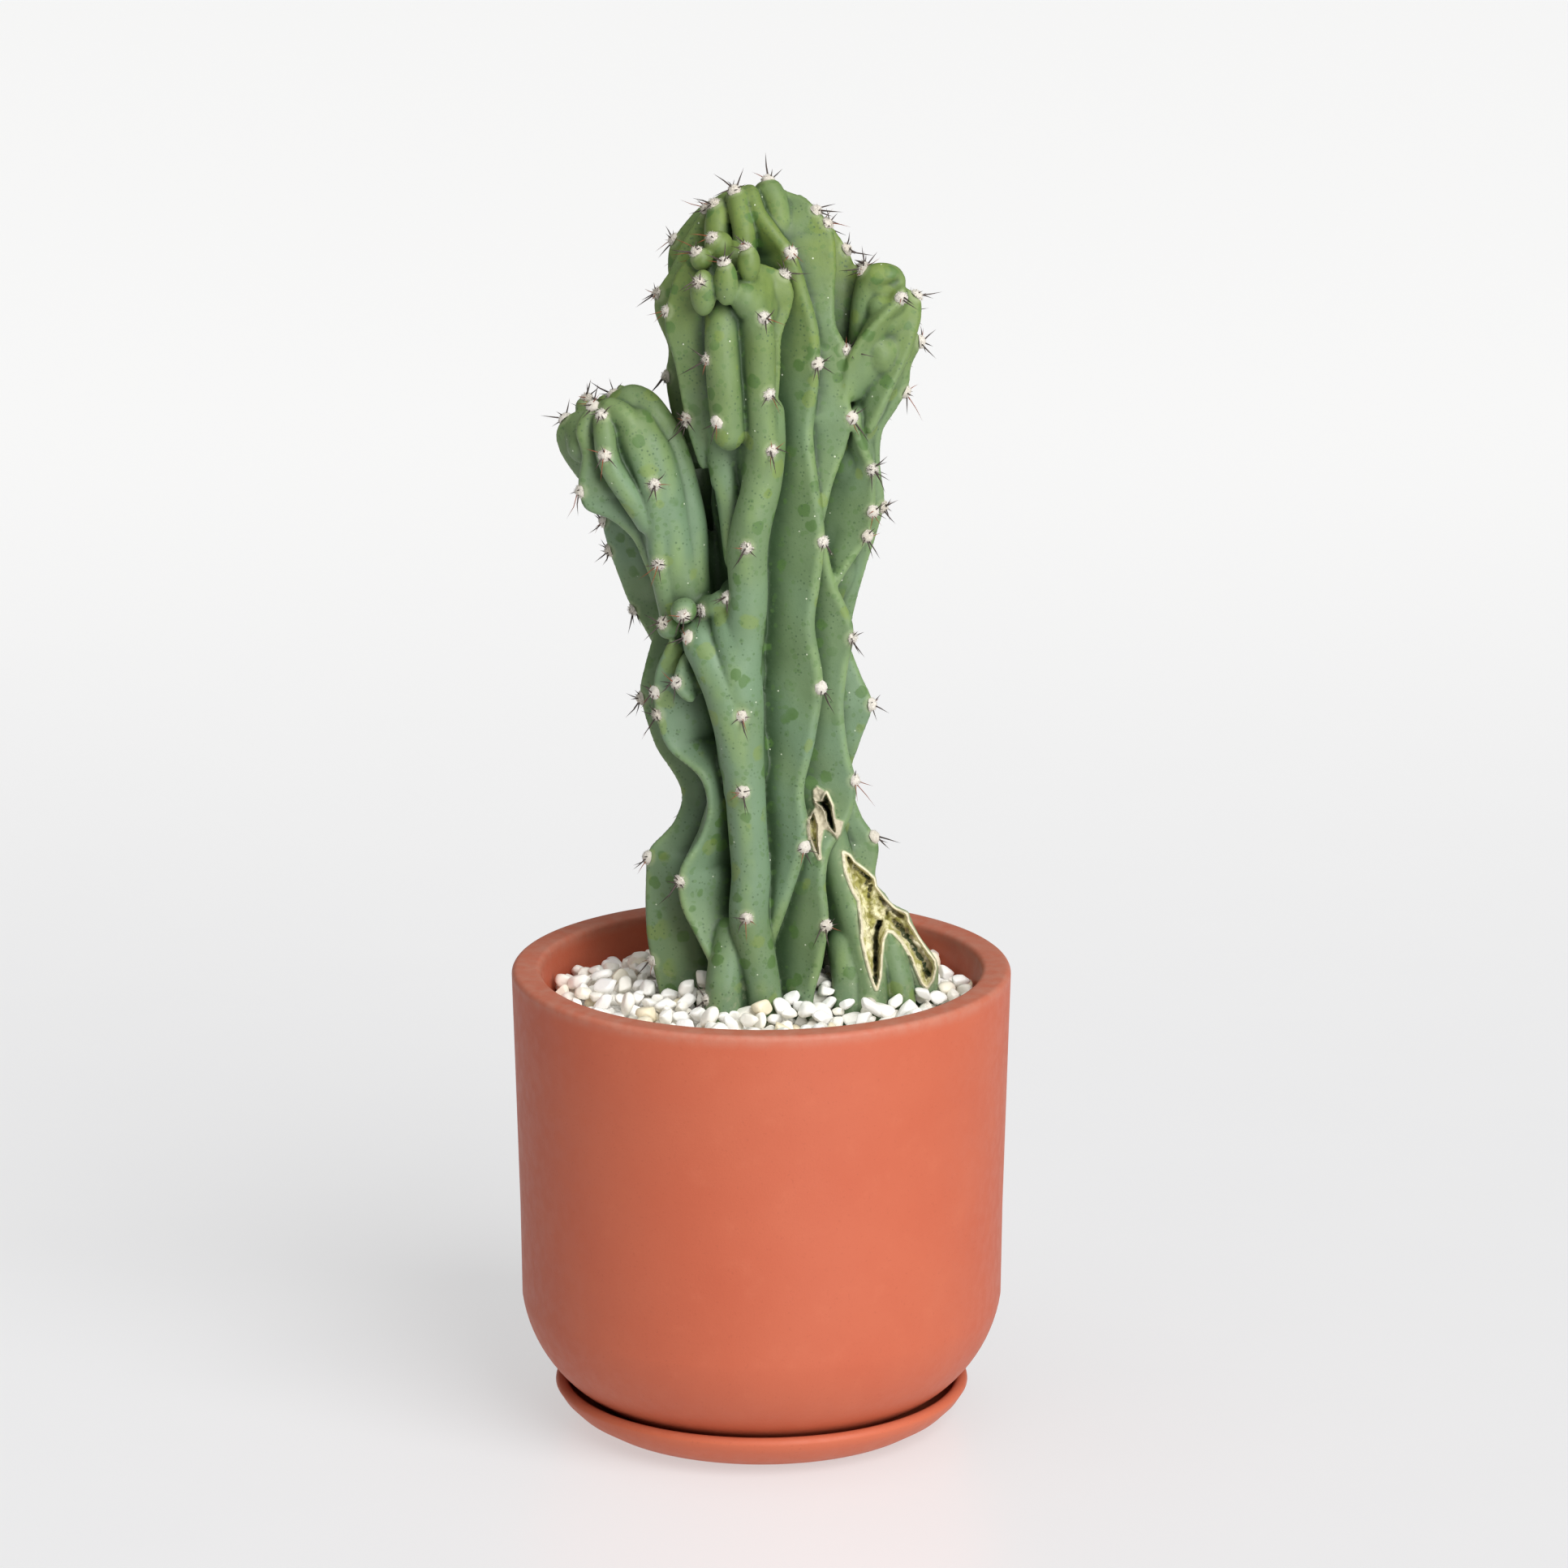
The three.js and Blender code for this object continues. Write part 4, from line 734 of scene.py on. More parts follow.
# The skin: one point in each cell that the surface crosses, joined to its neighbours
def skin_net(grid):
    """Points and four-sided faces of the surface where the grid's values pass through zero."""
    values = grid.values
    inside = values < 0
    whole = [size - 1 for size in inside.shape]
    count = np.zeros(whole, np.uint8)
    for a, b, c in CORNERS:
        count += inside[a : whole[0] + a, b : whole[1] + b, c : whole[2] + c]
    active = (count > 0) & (count < 8)
    cells = np.argwhere(active)
    number = np.full(active.shape, -1, np.int64)
    number[active] = np.arange(len(cells))
    at_corners = np.stack([values[tuple((cells + corner).T)] for corner in CORNERS], 1)
    total = np.zeros((len(cells), 3))
    crossings = np.zeros(len(cells))
    for i, j in CELL_EDGES:
        first, second = at_corners[:, i], at_corners[:, j]
        crosses = (first < 0) != (second < 0)
        share = np.where(crosses, first / np.where(crosses, first - second, 1), 0)
        total += crosses[:, None] * (CORNERS[i] + share[:, None] * (CORNERS[j] - CORNERS[i]))
        crossings += crosses
    points = grid.low + grid.voxel * (cells + total / crossings[:, None])
    faces = []
    for axis in range(3):
        u, v = (axis + 1) % 3, (axis + 2) % 3
        length = inside.shape[axis]
        here = inside.take(range(length - 1), axis)
        beyond = inside.take(range(1, length), axis)
        edges = np.argwhere(here != beyond)
        roomy = (edges[:, u] > 0) & (edges[:, v] > 0)
        roomy &= (edges[:, u] < inside.shape[u] - 1) & (edges[:, v] < inside.shape[v] - 1)
        edges = edges[roomy]
        ring = []
        for back_u, back_v in ((1, 1), (0, 1), (0, 0), (1, 0)):
            cell = edges.copy()
            cell[:, u] -= back_u
            cell[:, v] -= back_v
            ring.append(number[tuple(cell.T)])
        quads = np.stack(ring, 1)
        leaves_flesh = inside[tuple(edges.T)]
        faces.append(np.where(leaves_flesh[:, None], quads, quads[:, ::-1]))
    return points, np.vstack(faces)


def relax(grid, points, faces, rounds):
    """Evens the points out and draws them back to the surface."""
    links = np.vstack([faces[:, [0, 1]], faces[:, [1, 2]], faces[:, [2, 3]], faces[:, [3, 0]]])
    degree = np.bincount(links.ravel(), minlength=len(points))
    for _ in range(rounds):
        mean = np.zeros_like(points)
        for axis in range(3):
            mean[:, axis] = np.bincount(links[:, 0], points[links[:, 1], axis], len(points))
            mean[:, axis] += np.bincount(links[:, 1], points[links[:, 0], axis], len(points))
        points = points + 0.5 * (mean / degree[:, None] - points)
        points = points - grid.sample(points)[:, None] * grid.outward(points)
    return points


def largest_body(points, faces):
    """Only the outer skin: loose crumbs and sealed hollows are dropped."""
    leader = np.arange(len(points))
    while True:
        lowest = leader[faces].min(1)
        before = leader.copy()
        for corner in range(4):
            np.minimum.at(leader, faces[:, corner], lowest)
        leader = leader[leader]
        if np.array_equal(before, leader):
            break
    names, sizes = np.unique(leader, return_counts=True)
    kept = leader == names[sizes.argmax()]
    number = np.cumsum(kept) - 1
    return points[kept], number[faces[kept[faces[:, 0]]]]


# A place looks lower by this share of its way towards the camera, which looks down on it
SEEN_SLOPE = 0.26

# Healed splits in the skin, drawn as (x, height) as seen from the front: depth and outline
TEARS = [
    (8, [(16.5, 198.3), (18.5, 198.5), (19.8, 201), (21.5, 197), (21.8, 194), (22.5, 191), (22.8, 188),
         (21, 190), (20, 192.5), (19.5, 195), (18.5, 196.5)]),
    (3.5, [(16, 194.5), (14.8, 192.5), (14.6, 190), (15, 187), (16, 184.5), (17.8, 180.5), (17.4, 184),
           (17.2, 187), (17.2, 191)]),
    (2.2, [(25.3, 182), (26, 176), (27.5, 172), (28.5, 169.5), (30, 167), (31, 158), (31, 155), (32, 150),
           (33, 146), (34.2, 142), (35.3, 139), (36.3, 143), (36.6, 148), (37.2, 154.5), (38.5, 157.4),
           (40.5, 157), (43.4, 153.8), (46.3, 148.7), (47.8, 144.8), (49.5, 140.5), (51, 139), (52.6, 141.5),
           (53.4, 145), (53.2, 147.4), (50.3, 151.3), (47.8, 155.2), (45, 160), (44.5, 162.5), (41, 164),
           (38.5, 166.5), (36.5, 169), (35, 171), (34.4, 173.8), (31.5, 176.5), (28.5, 178.8), (27, 181)]),
]

# Dry raised skin round the two upper splits
CALLUS_PATCH = [(15.3, 202), (17, 203.8), (19.5, 202.2), (20.6, 199.5), (22.6, 196), (23.2, 193.2),
                (25.8, 192.4), (24.8, 188), (23.3, 185.6), (21.5, 188), (19.6, 189), (18.8, 185),
                (18.3, 180), (16.6, 183), (14.4, 187), (13.9, 192), (14.8, 195), (16, 196.5),
                (15.4, 199.5)]

# Furrows in the floor of the lowest split, painted dark with their depth as painted shade: width, extra depth
# and line
FURROWS = [
    (1.1, 3.0, [(35.1, 141.5), (35.1, 145), (35.3, 151), (35.4, 157), (36.5, 160)]),
    (1.2, 1.7, [(41, 159.7), (44.1, 156.5), (47.2, 152), (50.3, 147.4), (51.5, 143)]),
    (0.6, 1.5, [(26.6, 180.5), (29.1, 177.2), (33.2, 173.8)]),
    (0.6, 1.6, [(36.6, 167.5), (39.3, 164.8), (42.6, 162)]),
]

# Papery flaps that stand up along the rims: place, how proud and how wide
FLAPS = [(22.6, 193, 1.2, 1.5), (25, 191.5, 1.6, 1.4), (23.6, 187, 1.6, 1.4), (18, 201.5, 1.0, 2.0),
         (17, 194, 1.0, 1.6), (33.8, 174, 1.0, 1.6), (37.5, 167.8, 1.2, 1.6), (44.3, 163, 2.2, 2.0),
         (46.3, 158, 1.2, 1.8), (30.8, 160, 0.8, 2.5), (52.5, 147, 1.0, 2.0)]

# Where the splits end towards the plant's back, and the box in which they are cut
TEAR_END = 1.5
END_RAGGEDNESS = 0.9
TEAR_FRONT = -40
TEAR_BACK = 5
TEAR_MARGIN = 3

# How steep their walls are, the room left for their healed skin, and that skin's rims, dry parts and grid
TEAR_WALL = 0.9
TEAR_SLACK = 0.35
TEAR_CLEARANCE = 0.5
RIM_AT = 0.1
RIM_HEIGHT = 0.75
RIM_SPREAD = 0.5
FLAP_SPREAD = 1.3 * RIM_SPREAD
RIM_MARGIN = 1.1
DRY_HEIGHT = 0.45
DRY_EDGE = 0.6
CALLUS_VOXEL = 0.36
CALLUS_THICKNESS = 1.4
CALLUS_ROUNDS = 1


def line_distance(line, x, height):
    """Distances from places to an open line of points."""
    away = np.full(np.broadcast(x, height).shape, np.inf)
    for (ax, az), (bx, bz) in zip(line, line[1:]):
        ex, ez = bx - ax, bz - az
        share = np.clip(((x - ax) * ex + (height - az) * ez) / (ex * ex + ez * ez), 0, 1)
        away = np.minimum(away, (x - ax - share * ex) ** 2 + (height - az - share * ez) ** 2)
    return np.sqrt(away)


def outline_distance(outline, x, height):
    """Distances from places to a closed outline, negative inside it."""
    inside = np.zeros(np.broadcast(x, height).shape, bool)
    for (ax, az), (bx, bz) in zip(outline, outline[1:] + outline[:1]):
        if az != bz:
            inside ^= ((az > height) != (bz > height)) & (x < ax + (height - az) * (bx - ax) / (bz - az))
    away = line_distance(outline + outline[:1], x, height)
    return np.where(inside, -away, away)


def ripple(x, height, size):
    """An even pattern of bumps between -1 and 1."""
    a, b = x / size, height / size
    return np.sin(2.1 * a + 1.3 * np.sin(1.7 * b)) * np.sin(1.9 * b + 1.1 * np.sin(2.3 * a + 0.5))


def split_distance(outline, x, y, height):
    """Distances to one split, which also ends at a ragged line on the plant's side."""
    past_end = y - TEAR_END - END_RAGGEDNESS * ripple(height, x, 1.6)
    return np.maximum(outline_distance(outline, x, height), past_end)


def tear_distance(x, y, height):
    return np.minimum.reduce([split_distance(outline, x, y, height) for _, outline in TEARS])


def tear_depth(x, y, height):
    """How deep the splits go, with an uneven floor and furrows."""
    depth = np.zeros(np.broadcast(x, y, height).shape)
    for full, outline in TEARS:
        near = np.minimum(split_distance(outline, x, y, height), 0)
        depth = np.maximum(depth, full * (1 - np.exp(near / TEAR_WALL)))
    depth = depth * (1 + 0.35 * ripple(x, height, 1.9) + 0.15 * ripple(height, x, 0.9))
    for width, extra, line in FURROWS:
        depth += extra * np.exp(-((line_distance(line, x, height) / width) ** 2)) * (depth > 0)
    return depth


def tear_rim(x, height, near, patch):
    """How proud the ragged rims and the dry skin stand."""
    rim = RIM_HEIGHT * (1 + 0.45 * ripple(x, height, 1.2)) * np.exp(-(((near - RIM_AT) / RIM_SPREAD) ** 2))
    for at_x, at_height, proud, reach in FLAPS:
        away = (x - at_x) ** 2 + (height - at_height) ** 2
        rim += proud * np.exp(-away / reach**2) * np.exp(-(((near - RIM_AT) / FLAP_SPREAD) ** 2))
    dry = DRY_HEIGHT + 0.3 * ripple(x, height, 0.9)
    return rim + dry * np.clip(-patch / DRY_EDGE, 0, 1)


def tear_window(grid, outline):
    """The part of the grid that holds one split."""
    x, height = np.array(outline).T
    top = height.max() + TEAR_MARGIN - SEEN_SLOPE * TEAR_FRONT
    low = np.array([x.min() - TEAR_MARGIN, TEAR_FRONT, height.min() - TEAR_MARGIN])
    return grid.window(low, np.array([x.max() + TEAR_MARGIN, TEAR_BACK, top]))


def cut_tears(grid):
    """Makes room in the flesh for the healed splits."""
    for _, outline in TEARS:
        part = tear_window(grid, outline)
        x, y, z = grid.places(part)
        height = z + SEEN_SLOPE * y
        near = split_distance(outline, x, y, height)
        floor = grid.values[part] + tear_depth(x, y, height) + TEAR_CLEARANCE
        cut = np.maximum(near - TEAR_SLACK, -floor)
        grid.values[part] = np.maximum(grid.values[part], -cut)


# Healed skin over the splits, on a finer grid than the flesh
CALLUS_BLOCKS = [((12, -27, 177), (28, -4, 213)), ((22, -22, 136), (58, 5, 189))]


def callus_skin(flesh, low, high):
    """The fine torn skin of one block, as points and faces."""
    fine = Grid(low, high, CALLUS_VOXEL)
    x, y, z = fine.all_places()
    everywhere = np.stack(np.broadcast_arrays(x, y, z), -1).reshape(-1, 3)
    skin = flesh.sample(everywhere).reshape(fine.shape)
    height = z + SEEN_SLOPE * y
    near = tear_distance(x, y, height)
    patch = outline_distance(CALLUS_PATCH, x, height)
    depth = tear_depth(x, y, height)
    body = np.maximum(skin - tear_rim(x, height, near, patch), -np.maximum(near, -(skin + depth)))
    body = np.maximum(body, np.minimum(near - RIM_MARGIN, patch))
    fine.values = np.maximum(body, -(skin + depth + CALLUS_THICKNESS))
    points, faces = skin_net(fine)
    points, faces = largest_body(points, faces)
    return relax(fine, points, faces, CALLUS_ROUNDS), faces


def make_callus(flesh):
    """Papery skin that knows how near the rim, how deep and how near the dry parts each point is."""
    paper = Finish("torn_callus", 0.75)
    near, deep, dry = (paper.attribute(name) for name in ("near", "deep", "dry"))
    torn = paper.mix(paper.step(paper.noise(3.2, 4, 0.6), 0.38, 0.6), "a09c58", "e0dab2")
    torn = paper.mix(paper.step(paper.noise(1.1, 3, 0.6), 0.5, 0.7, 0, 0.5), torn, "5f5f28")
    # Painted shade: the floor of the splits darkens with depth, to near black in the deepest hole
    torn = paper.mix(paper.step(deep, 2.9, 4.6), torn, "3a3a18")
    torn = paper.mix(paper.step(deep, 4.5, 6.5), torn, "12120a")
    edge = paper.mix(paper.noise(1.4, 4, 0.6), "cfc5a0", "efe8cf")
    grey = paper.mix(paper.noise(1.8, 4, 0.7), "9c927c", "d5ccb2")
    edge = paper.mix(paper.step(dry, 0.4, -0.4), edge, grey)
    green = paper.mix(paper.noise(1.3, 3), "74875f", "8d9c75")
    paper.colour = paper.mix(paper.step(near, 0.45, 0.95), edge, green)
    paper.lay(paper.step(dry, -0.3, -0.8), grey)
    paper.lay(paper.step(near, -0.15, -0.5), torn)
    material = paper.finish([(paper.noise(0.5, 4, 0.7), 0.5, 0.25)])
    soup = Soup()
    for low, high in CALLUS_BLOCKS:
        soup.add(*callus_skin(flesh, low, high))
    piece = soup.build("healed_splits", material)
    x, y, z = points_of(piece).T
    height = z + SEEN_SLOPE * y
    add_attribute(piece, "near", tear_distance(x, y, height))
    add_attribute(piece, "deep", tear_depth(x, y, height))
    add_attribute(piece, "dry", outline_distance(CALLUS_PATCH, x, height))
    attach(piece, "callus")


# The plant's skin: its size, and how far round each point its hollows and creases are felt out, for the
# painted shade in them
SKIN_TRIANGLES = 190000
HOLLOW_REACH = 6
CREASE_REACH = 1.7


def box_blurred(values, reach):
    """The mean over a cube of cells, reach cells to each side."""
    for axis in range(3):
        padded = np.concatenate(
            [values.take([0] * (reach + 1), axis), values, values.take([-1] * reach, axis)], axis
        )
        total = np.cumsum(padded, axis, dtype=np.float64)
        length = values.shape[axis]
        ahead = total.take(range(2 * reach + 1, 2 * reach + 1 + length), axis)
        values = (ahead - total.take(range(length), axis)) / (2 * reach + 1)
    return values


def distances_to(points, targets):
    tree = kdtree.KDTree(len(targets))
    for i, target in enumerate(targets):
        tree.insert(target, i)
    tree.balance()
    return np.array([tree.find(point)[2] for point in points])


def thin_out(piece, triangles):
    """Collapses the flattest faces until about so many triangles are left."""
    modify(piece, "DECIMATE", ratio=triangles / (2 * len(piece.data.polygons)))


def cactus_material():
    skin = Finish("cactus_skin", 0.5, Coat_Weight=0.03, Coat_Roughness=0.5)
    names = ("ridge", "valley_shade", "crease_shade", "tear", "felt")
    ridge, valley_shade, crease_shade, tear, felt = (skin.attribute(name) for name in names)

    # Blue-grey green flanks, yellower crests, young yellow-green growth, and painted shade in valleys and
    # creases
    flank = skin.mix(skin.noise(14, 3, 0.55), "5a724a", "708860")
    flank = skin.mix(skin.step(skin.noise(38, 2), 0.42, 0.62, 0, 0.5), flank, "6b8870")
    crest = skin.mix(skin.noise(6, 3), "8ba061", "78955a")
    crest_patches = skin.step(skin.noise(13), 0.35, 0.65)
    near_crest = skin.times(skin.step(ridge, 0.3, 3.5, 0.5, 0), crest_patches)
    skin.colour = skin.mix(near_crest, flank, crest)
    patches = skin.step(skin.noise(24, 3), 0.25, 0.65, 0.45, 1)
    young = skin.times(skin.step(skin.coordinate("Z"), 0.275, 0.38), patches)
    skin.lay(young, skin.mix(skin.noise(5, 4), "586d35", "768a40"))
    # Painted shade: darker where the flesh closes round a point, in valleys and in sharp creases
    skin.lay(skin.step(valley_shade, 0.5, -1.7, 0, 0.92), "30492a")
    skin.lay(skin.step(crease_shade, -0.04, -0.42, 0, 0.75), "2c4225")

    # Water-soaked spots, yellower ones, tiny dark specks and sparse pale dots
    wander = skin.shifted(3, 2.2)
    large = skin.spots(6.2, 0.36, wander)
    patchy = skin.step(skin.noise(24, 2), 0.36, 0.5, 0.15, 0.75)
    skin.lay(skin.times(large, patchy), "486a2e")
    yellow = skin.times(skin.spots(9.5, 0.33, skin.shifted(4, 3.0)), skin.step(ridge, 5, 9, 0.5, 0))
    skin.lay(yellow, "728636")
    small = skin.spots(2.4, 0.36, wander)
    skin.lay(skin.times(small, 0.4), "4f7036")
    crowd = skin.step(skin.noise(9, 2), 0.42, 0.62, 0.15, 0.75)
    specks = skin.step(skin.cells(1.5), 0.14, 0.3, 1, 0)
    skin.lay(skin.times(specks, crowd), "435c3a")
    dots = skin.step(skin.cells(5.1), 0.045, 0.06, 1, 0)
    skin.lay(skin.times(dots, 0.75), "d6dcc4")

    # A pale ring of dust round each areole, and grey cork low down on the trunk
    skin.lay(skin.step(felt, 2.2, 3.6, 0.35, 0), "a9b48c")
    low = skin.step(skin.coordinate("Z"), 0.150, 0.128)
    cork = skin.times(low, skin.step(skin.noise(2.4, 5, 0.7), 0.5, 0.66, 0, 0.75))
    skin.lay(cork, "a8a488")

    # A pale halo round the healed splits
    halo = skin.times(skin.step(tear, 2.6, 0.8), skin.step(skin.noise(2), 0.4, 0.6))
    skin.lay(skin.times(halo, 0.4), "a3a67f")

    rough = skin.step(skin.noise(5, 4), 0.3, 0.7, 0.5, 0.66)
    grain = skin.noise(0.55, 3, 0.6)
    dents = skin.noise(4.5, 3, 0.5)
    bumps = [(dents, 0.25, 0.8), (grain, 0.25, 0.12), (large, 0.15, 0.15)]
    return skin.finish(bumps, rough)


def make_flesh(grid, spots):
    """The plant's skin with what its material needs to know at each point."""
    points, faces = skin_net(grid)
    points, faces = largest_body(points, faces)
    points = relax(grid, points, faces, RELAX_ROUNDS)
    points[:, 2] = np.maximum(points[:, 2], GROUND_CUT)
    piece = new_object("cactus_flesh", points, faces.tolist(), cactus_material())
    thin_out(piece, SKIN_TRIANGLES)
    points = points_of(piece)
    crests = np.vstack([smooth_line(rib[6], STATION_STEP) for rib in RIBS])
    add_attribute(piece, "ridge", distances_to(points, crests))
    for name, reach in (("valley_shade", HOLLOW_REACH), ("crease_shade", CREASE_REACH)):
        blurred = box_blurred(grid.values, round(reach / VOXEL))
        add_attribute(piece, name, grid.sample(points, blurred))
    x, y, z = points.T
    add_attribute(piece, "tear", tear_distance(x, y, z + SEEN_SLOPE * y))
    add_attribute(piece, "felt", distances_to(points, spots))
    attach(piece, "cactus", "cactus")


# Areoles: where they sit and which way they look
SEEK_STEPS = 24
LOOK_REACH = 1.6
NEARLY_UPRIGHT = 0.2
BACKWARDS = (0.0, 1, 0.3)


def surface_from(grid, inside, direction):
    """The points of the skin reached from inside the flesh along a direction."""
    reach = np.zeros(len(inside))
    for _ in range(SEEK_STEPS):
        reach -= grid.sample(inside + direction * reach[:, None])
    return inside + direction * reach[:, None]


def areole_frames(grid):
    """Each areole's place, the way it looks, and the way up on the skin there."""
    starts, ways = [], []
    for stem, _, crest_radius, _, _, areoles, points in RIBS:
        crest, along, inward = rib_frames(stem, points)
        for areole in areoles:
            height, turn = areole if isinstance(areole, tuple) else (areole, 0)
            i = np.abs(crest[:, 2] - height).argmin()
            way = turned_about(-inward[i : i + 1], along[i : i + 1], turn)[0]
            starts.append(crest[i] + inward[i] * crest_radius)
            ways.append(way)
    for at, _, _, felt in LUMPS:
        starts.append(np.array(at, float))
        ways.append(np.array(felt, float))
    starts, ways = np.array(starts), unit(np.array(ways))
    spots = surface_from(grid, starts, ways)
    out = unit(ways + grid.outward(spots, LOOK_REACH))
    up = np.array([0.0, 0, 1]) - out * out[:, 2:]
    upright = np.linalg.norm(up, axis=1, keepdims=True) < NEARLY_UPRIGHT
    up = unit(np.where(upright, [BACKWARDS], up))
    return spots, out, unit(up - out * np.sum(up * out, axis=1, keepdims=True))


# The felt pad: a dome whose size, reach and height vary by these shares
FELT_RADIUS = 1.95
FELT_HEIGHT = 1.5
FELT_SINK = 0.35
FELT_LEAN = math.radians(100)
FELT_SIDES = 14
FELT_RINGS = 5
FELT_SIZES = (0.85, 1.15)
FELT_REACHES = (0.88, 1.12)

# Its tuft of short hairs
TUFT_HAIRS = 110
HAIR_LEAN = math.radians(95)
HAIR_REACH = 0.95
HAIR_SCATTER = 0.45
HAIR_LENGTHS = (0.3, 0.85)
HAIR_ROOT = 0.3
HAIR_RADIUS = 0.13
HAIR_SIDES = 3


def felt_dome(random, spot, out, up):
    side = np.cross(up, out)
    size = random.uniform(*FELT_SIZES)
    vertices = [spot + out * FELT_HEIGHT * size]
    for ring in range(1, FELT_RINGS + 1):
        lean = FELT_LEAN * ring / FELT_RINGS
        for corner in range(FELT_SIDES):
            turn = math.tau * corner / FELT_SIDES
            reach = FELT_RADIUS * size * math.sin(lean) * random.uniform(*FELT_REACHES)
            tall = FELT_HEIGHT * size * math.cos(lean) * random.uniform(*FELT_SIZES) - FELT_SINK
            vertices.append(spot + reach * (math.cos(turn) * side + math.sin(turn) * up) + tall * out)
    faces = [(0, 1 + i, 1 + (i + 1) % FELT_SIDES) for i in range(FELT_SIDES)]
    for ring in range(FELT_RINGS - 1):
        first = 1 + ring * FELT_SIDES
        for i in range(FELT_SIDES):
            j = (i + 1) % FELT_SIDES
            faces.append((first + i, first + FELT_SIDES + i, first + FELT_SIDES + j))
            faces.append((first + i, first + FELT_SIDES + j, first + j))
    return np.array(vertices), faces


# Spikes: a direction that sets where their sides start, and how thick they are half way up
ASKEW = (0.31, 0.87, 0.39)
HALF_WAY = 0.68


def spike(base, tip, radius, sides, bend=0.0):
    """A thin cone from base to tip, with a slight bend at its middle."""
    along = unit(tip - base)
    side = unit(np.cross(along, ASKEW))
    other = np.cross(along, side)
    middle = (base + tip) / 2 + side * bend
    angles = math.tau * np.arange(sides)[:, None] / sides
    ring = np.cos(angles) * side + np.sin(angles) * other
    vertices = np.vstack([base + radius * ring, middle + HALF_WAY * radius * ring, tip[None]])
    faces = []
    for i in range(sides):
        j = (i + 1) % sides
        faces += [(i, j, sides + j), (i, sides + j, sides + i), (sides + i, sides + j, 2 * sides)]
    return vertices, faces


def make_felt(random, frames):
    """A dome with a tuft of short hairs on each areole."""
    soup = Soup()
    for spot, out, up in zip(*frames):
        tint = random.uniform(0, 1)
        soup.add(*felt_dome(random, spot, out, up), tint)
        side = np.cross(up, out)
        for _ in range(TUFT_HAIRS):
            lean = HAIR_LEAN * math.sqrt(random.uniform())
            turn = random.uniform(0, math.tau)
            aside = math.cos(turn) * side + math.sin(turn) * up
            base = spot + FELT_RADIUS * HAIR_REACH * math.sin(lean) * aside
            base = base + out * (FELT_HEIGHT * math.cos(lean) - FELT_SINK)
            way = unit(math.cos(lean) * out + math.sin(lean) * aside + random.normal(0, HAIR_SCATTER, 3))
            tip = base + way * random.uniform(*HAIR_LENGTHS)
            soup.add(*spike(base - way * HAIR_ROOT, tip, HAIR_RADIUS, HAIR_SIDES), tint)
    fleece = Finish("areole_felt", 0.95, Sheen_Weight=0.4)
    fleece.colour = fleece.mix(fleece.noise(0.8, 4, 0.7), "b7afa2", "ebe6dc")
    fleece.lay(fleece.step(fleece.attribute("tint"), 0.3, 1, 0, 0.3), "b5a88f")
    material = fleece.finish([(fleece.noise(0.4, 4, 0.7), 0.6, 0.3)])
    attach(soup.build("areole_felt", material), "felt")


# Spines: directions as (out, up, aside), shortest and longest, drawn in this order from the middle
SPINE_WAYS = [
    ((0.75, -0.65, 0.1), 5.5, 10),
    ((0.45, -0.9, 0.45), 4.5, 8),
    ((0.5, -0.55, -0.9), 4, 7),
    ((0.55, 0.3, 0.95), 3.5, 6.5),
    ((0.8, 0.75, -0.3), 3.5, 7),
    ((0.35, 0.1, -1.0), 3, 5),
    ((0.3, 0.9, 0.4), 2.5, 4.5),
]
# How many, how they scatter and how thick they are
FEWEST_SPINES = 3
SPINE_SIDES = 6
WAY_SCATTER = 0.16
BASE_PROUD = 0.35
BASE_SCATTER = 0.35
BEND_SCATTER = 0.03
RED_CHANCE = 0.2
RED_RADIUS = 0.165
DARK_RADIUS = 0.18
DARK_RADIUS_PER_LENGTH = 0.015


def make_spines(random, frames):
    """A few stiff spines on each areole, some of them thinner and red."""
    dark, red = Soup(), Soup()
    for spot, out, up in zip(*frames):
        side = np.cross(up, out)
        flip = random.choice([-1, 1])
        count = random.integers(FEWEST_SPINES, len(SPINE_WAYS) + 1)
        for (ahead, above, aside), shortest, longest in SPINE_WAYS[:count]:
            way = unit(ahead * out + above * up + flip * aside * side + random.normal(0, WAY_SCATTER, 3))
            length = random.uniform(shortest, longest)
            base = spot + BASE_PROUD * way + random.normal(0, BASE_SCATTER, 3)
            bend = random.normal(0, BEND_SCATTER) * length
            is_red = random.uniform() < RED_CHANCE
            radius = RED_RADIUS if is_red else DARK_RADIUS + DARK_RADIUS_PER_LENGTH * length
            soup = red if is_red else dark
            soup.add(*spike(base, base + way * length, radius, SPINE_SIDES, bend), random.uniform())
    horn = Finish("spine_dark", 0.5)
    horn.colour = horn.mix(horn.noise(1.5, 3), "1d1716", "4a3b35")
    horn.lay(horn.times(horn.attribute("tint"), 0.35), "5d5048")
    amber = Finish("spine_red", 0.45)
    amber.colour = amber.mix(amber.noise(2, 3), "5a2a18", "a4532c")
    for name, soup, finish in (("spines_dark", dark, horn), ("spines_red", red, amber)):
        attach(soup.build(name, finish.finish([(finish.noise(0.5), 0.3, 0.1)])), "spines")


# Pot, saucer and soil
def arc(radius_at, height_at, radius, start, end, steps):
    """Points of an arc in (radius, height), with its angles in degrees."""
    angles = np.radians(np.linspace(start, end, steps + 1))
    return [(radius_at + radius * math.cos(a), height_at + radius * math.sin(a)) for a in angles]


def inner_radius(height):
    rise = (height - POT_SHOULDER) / (POT_RIM - POT_SHOULDER)
    return POT_WAIST + (POT_RADIUS - POT_WAIST) * rise - RIM_WIDTH


WELD_REACH = 0.01 * MM
SHARP_EDGE = math.radians(40)


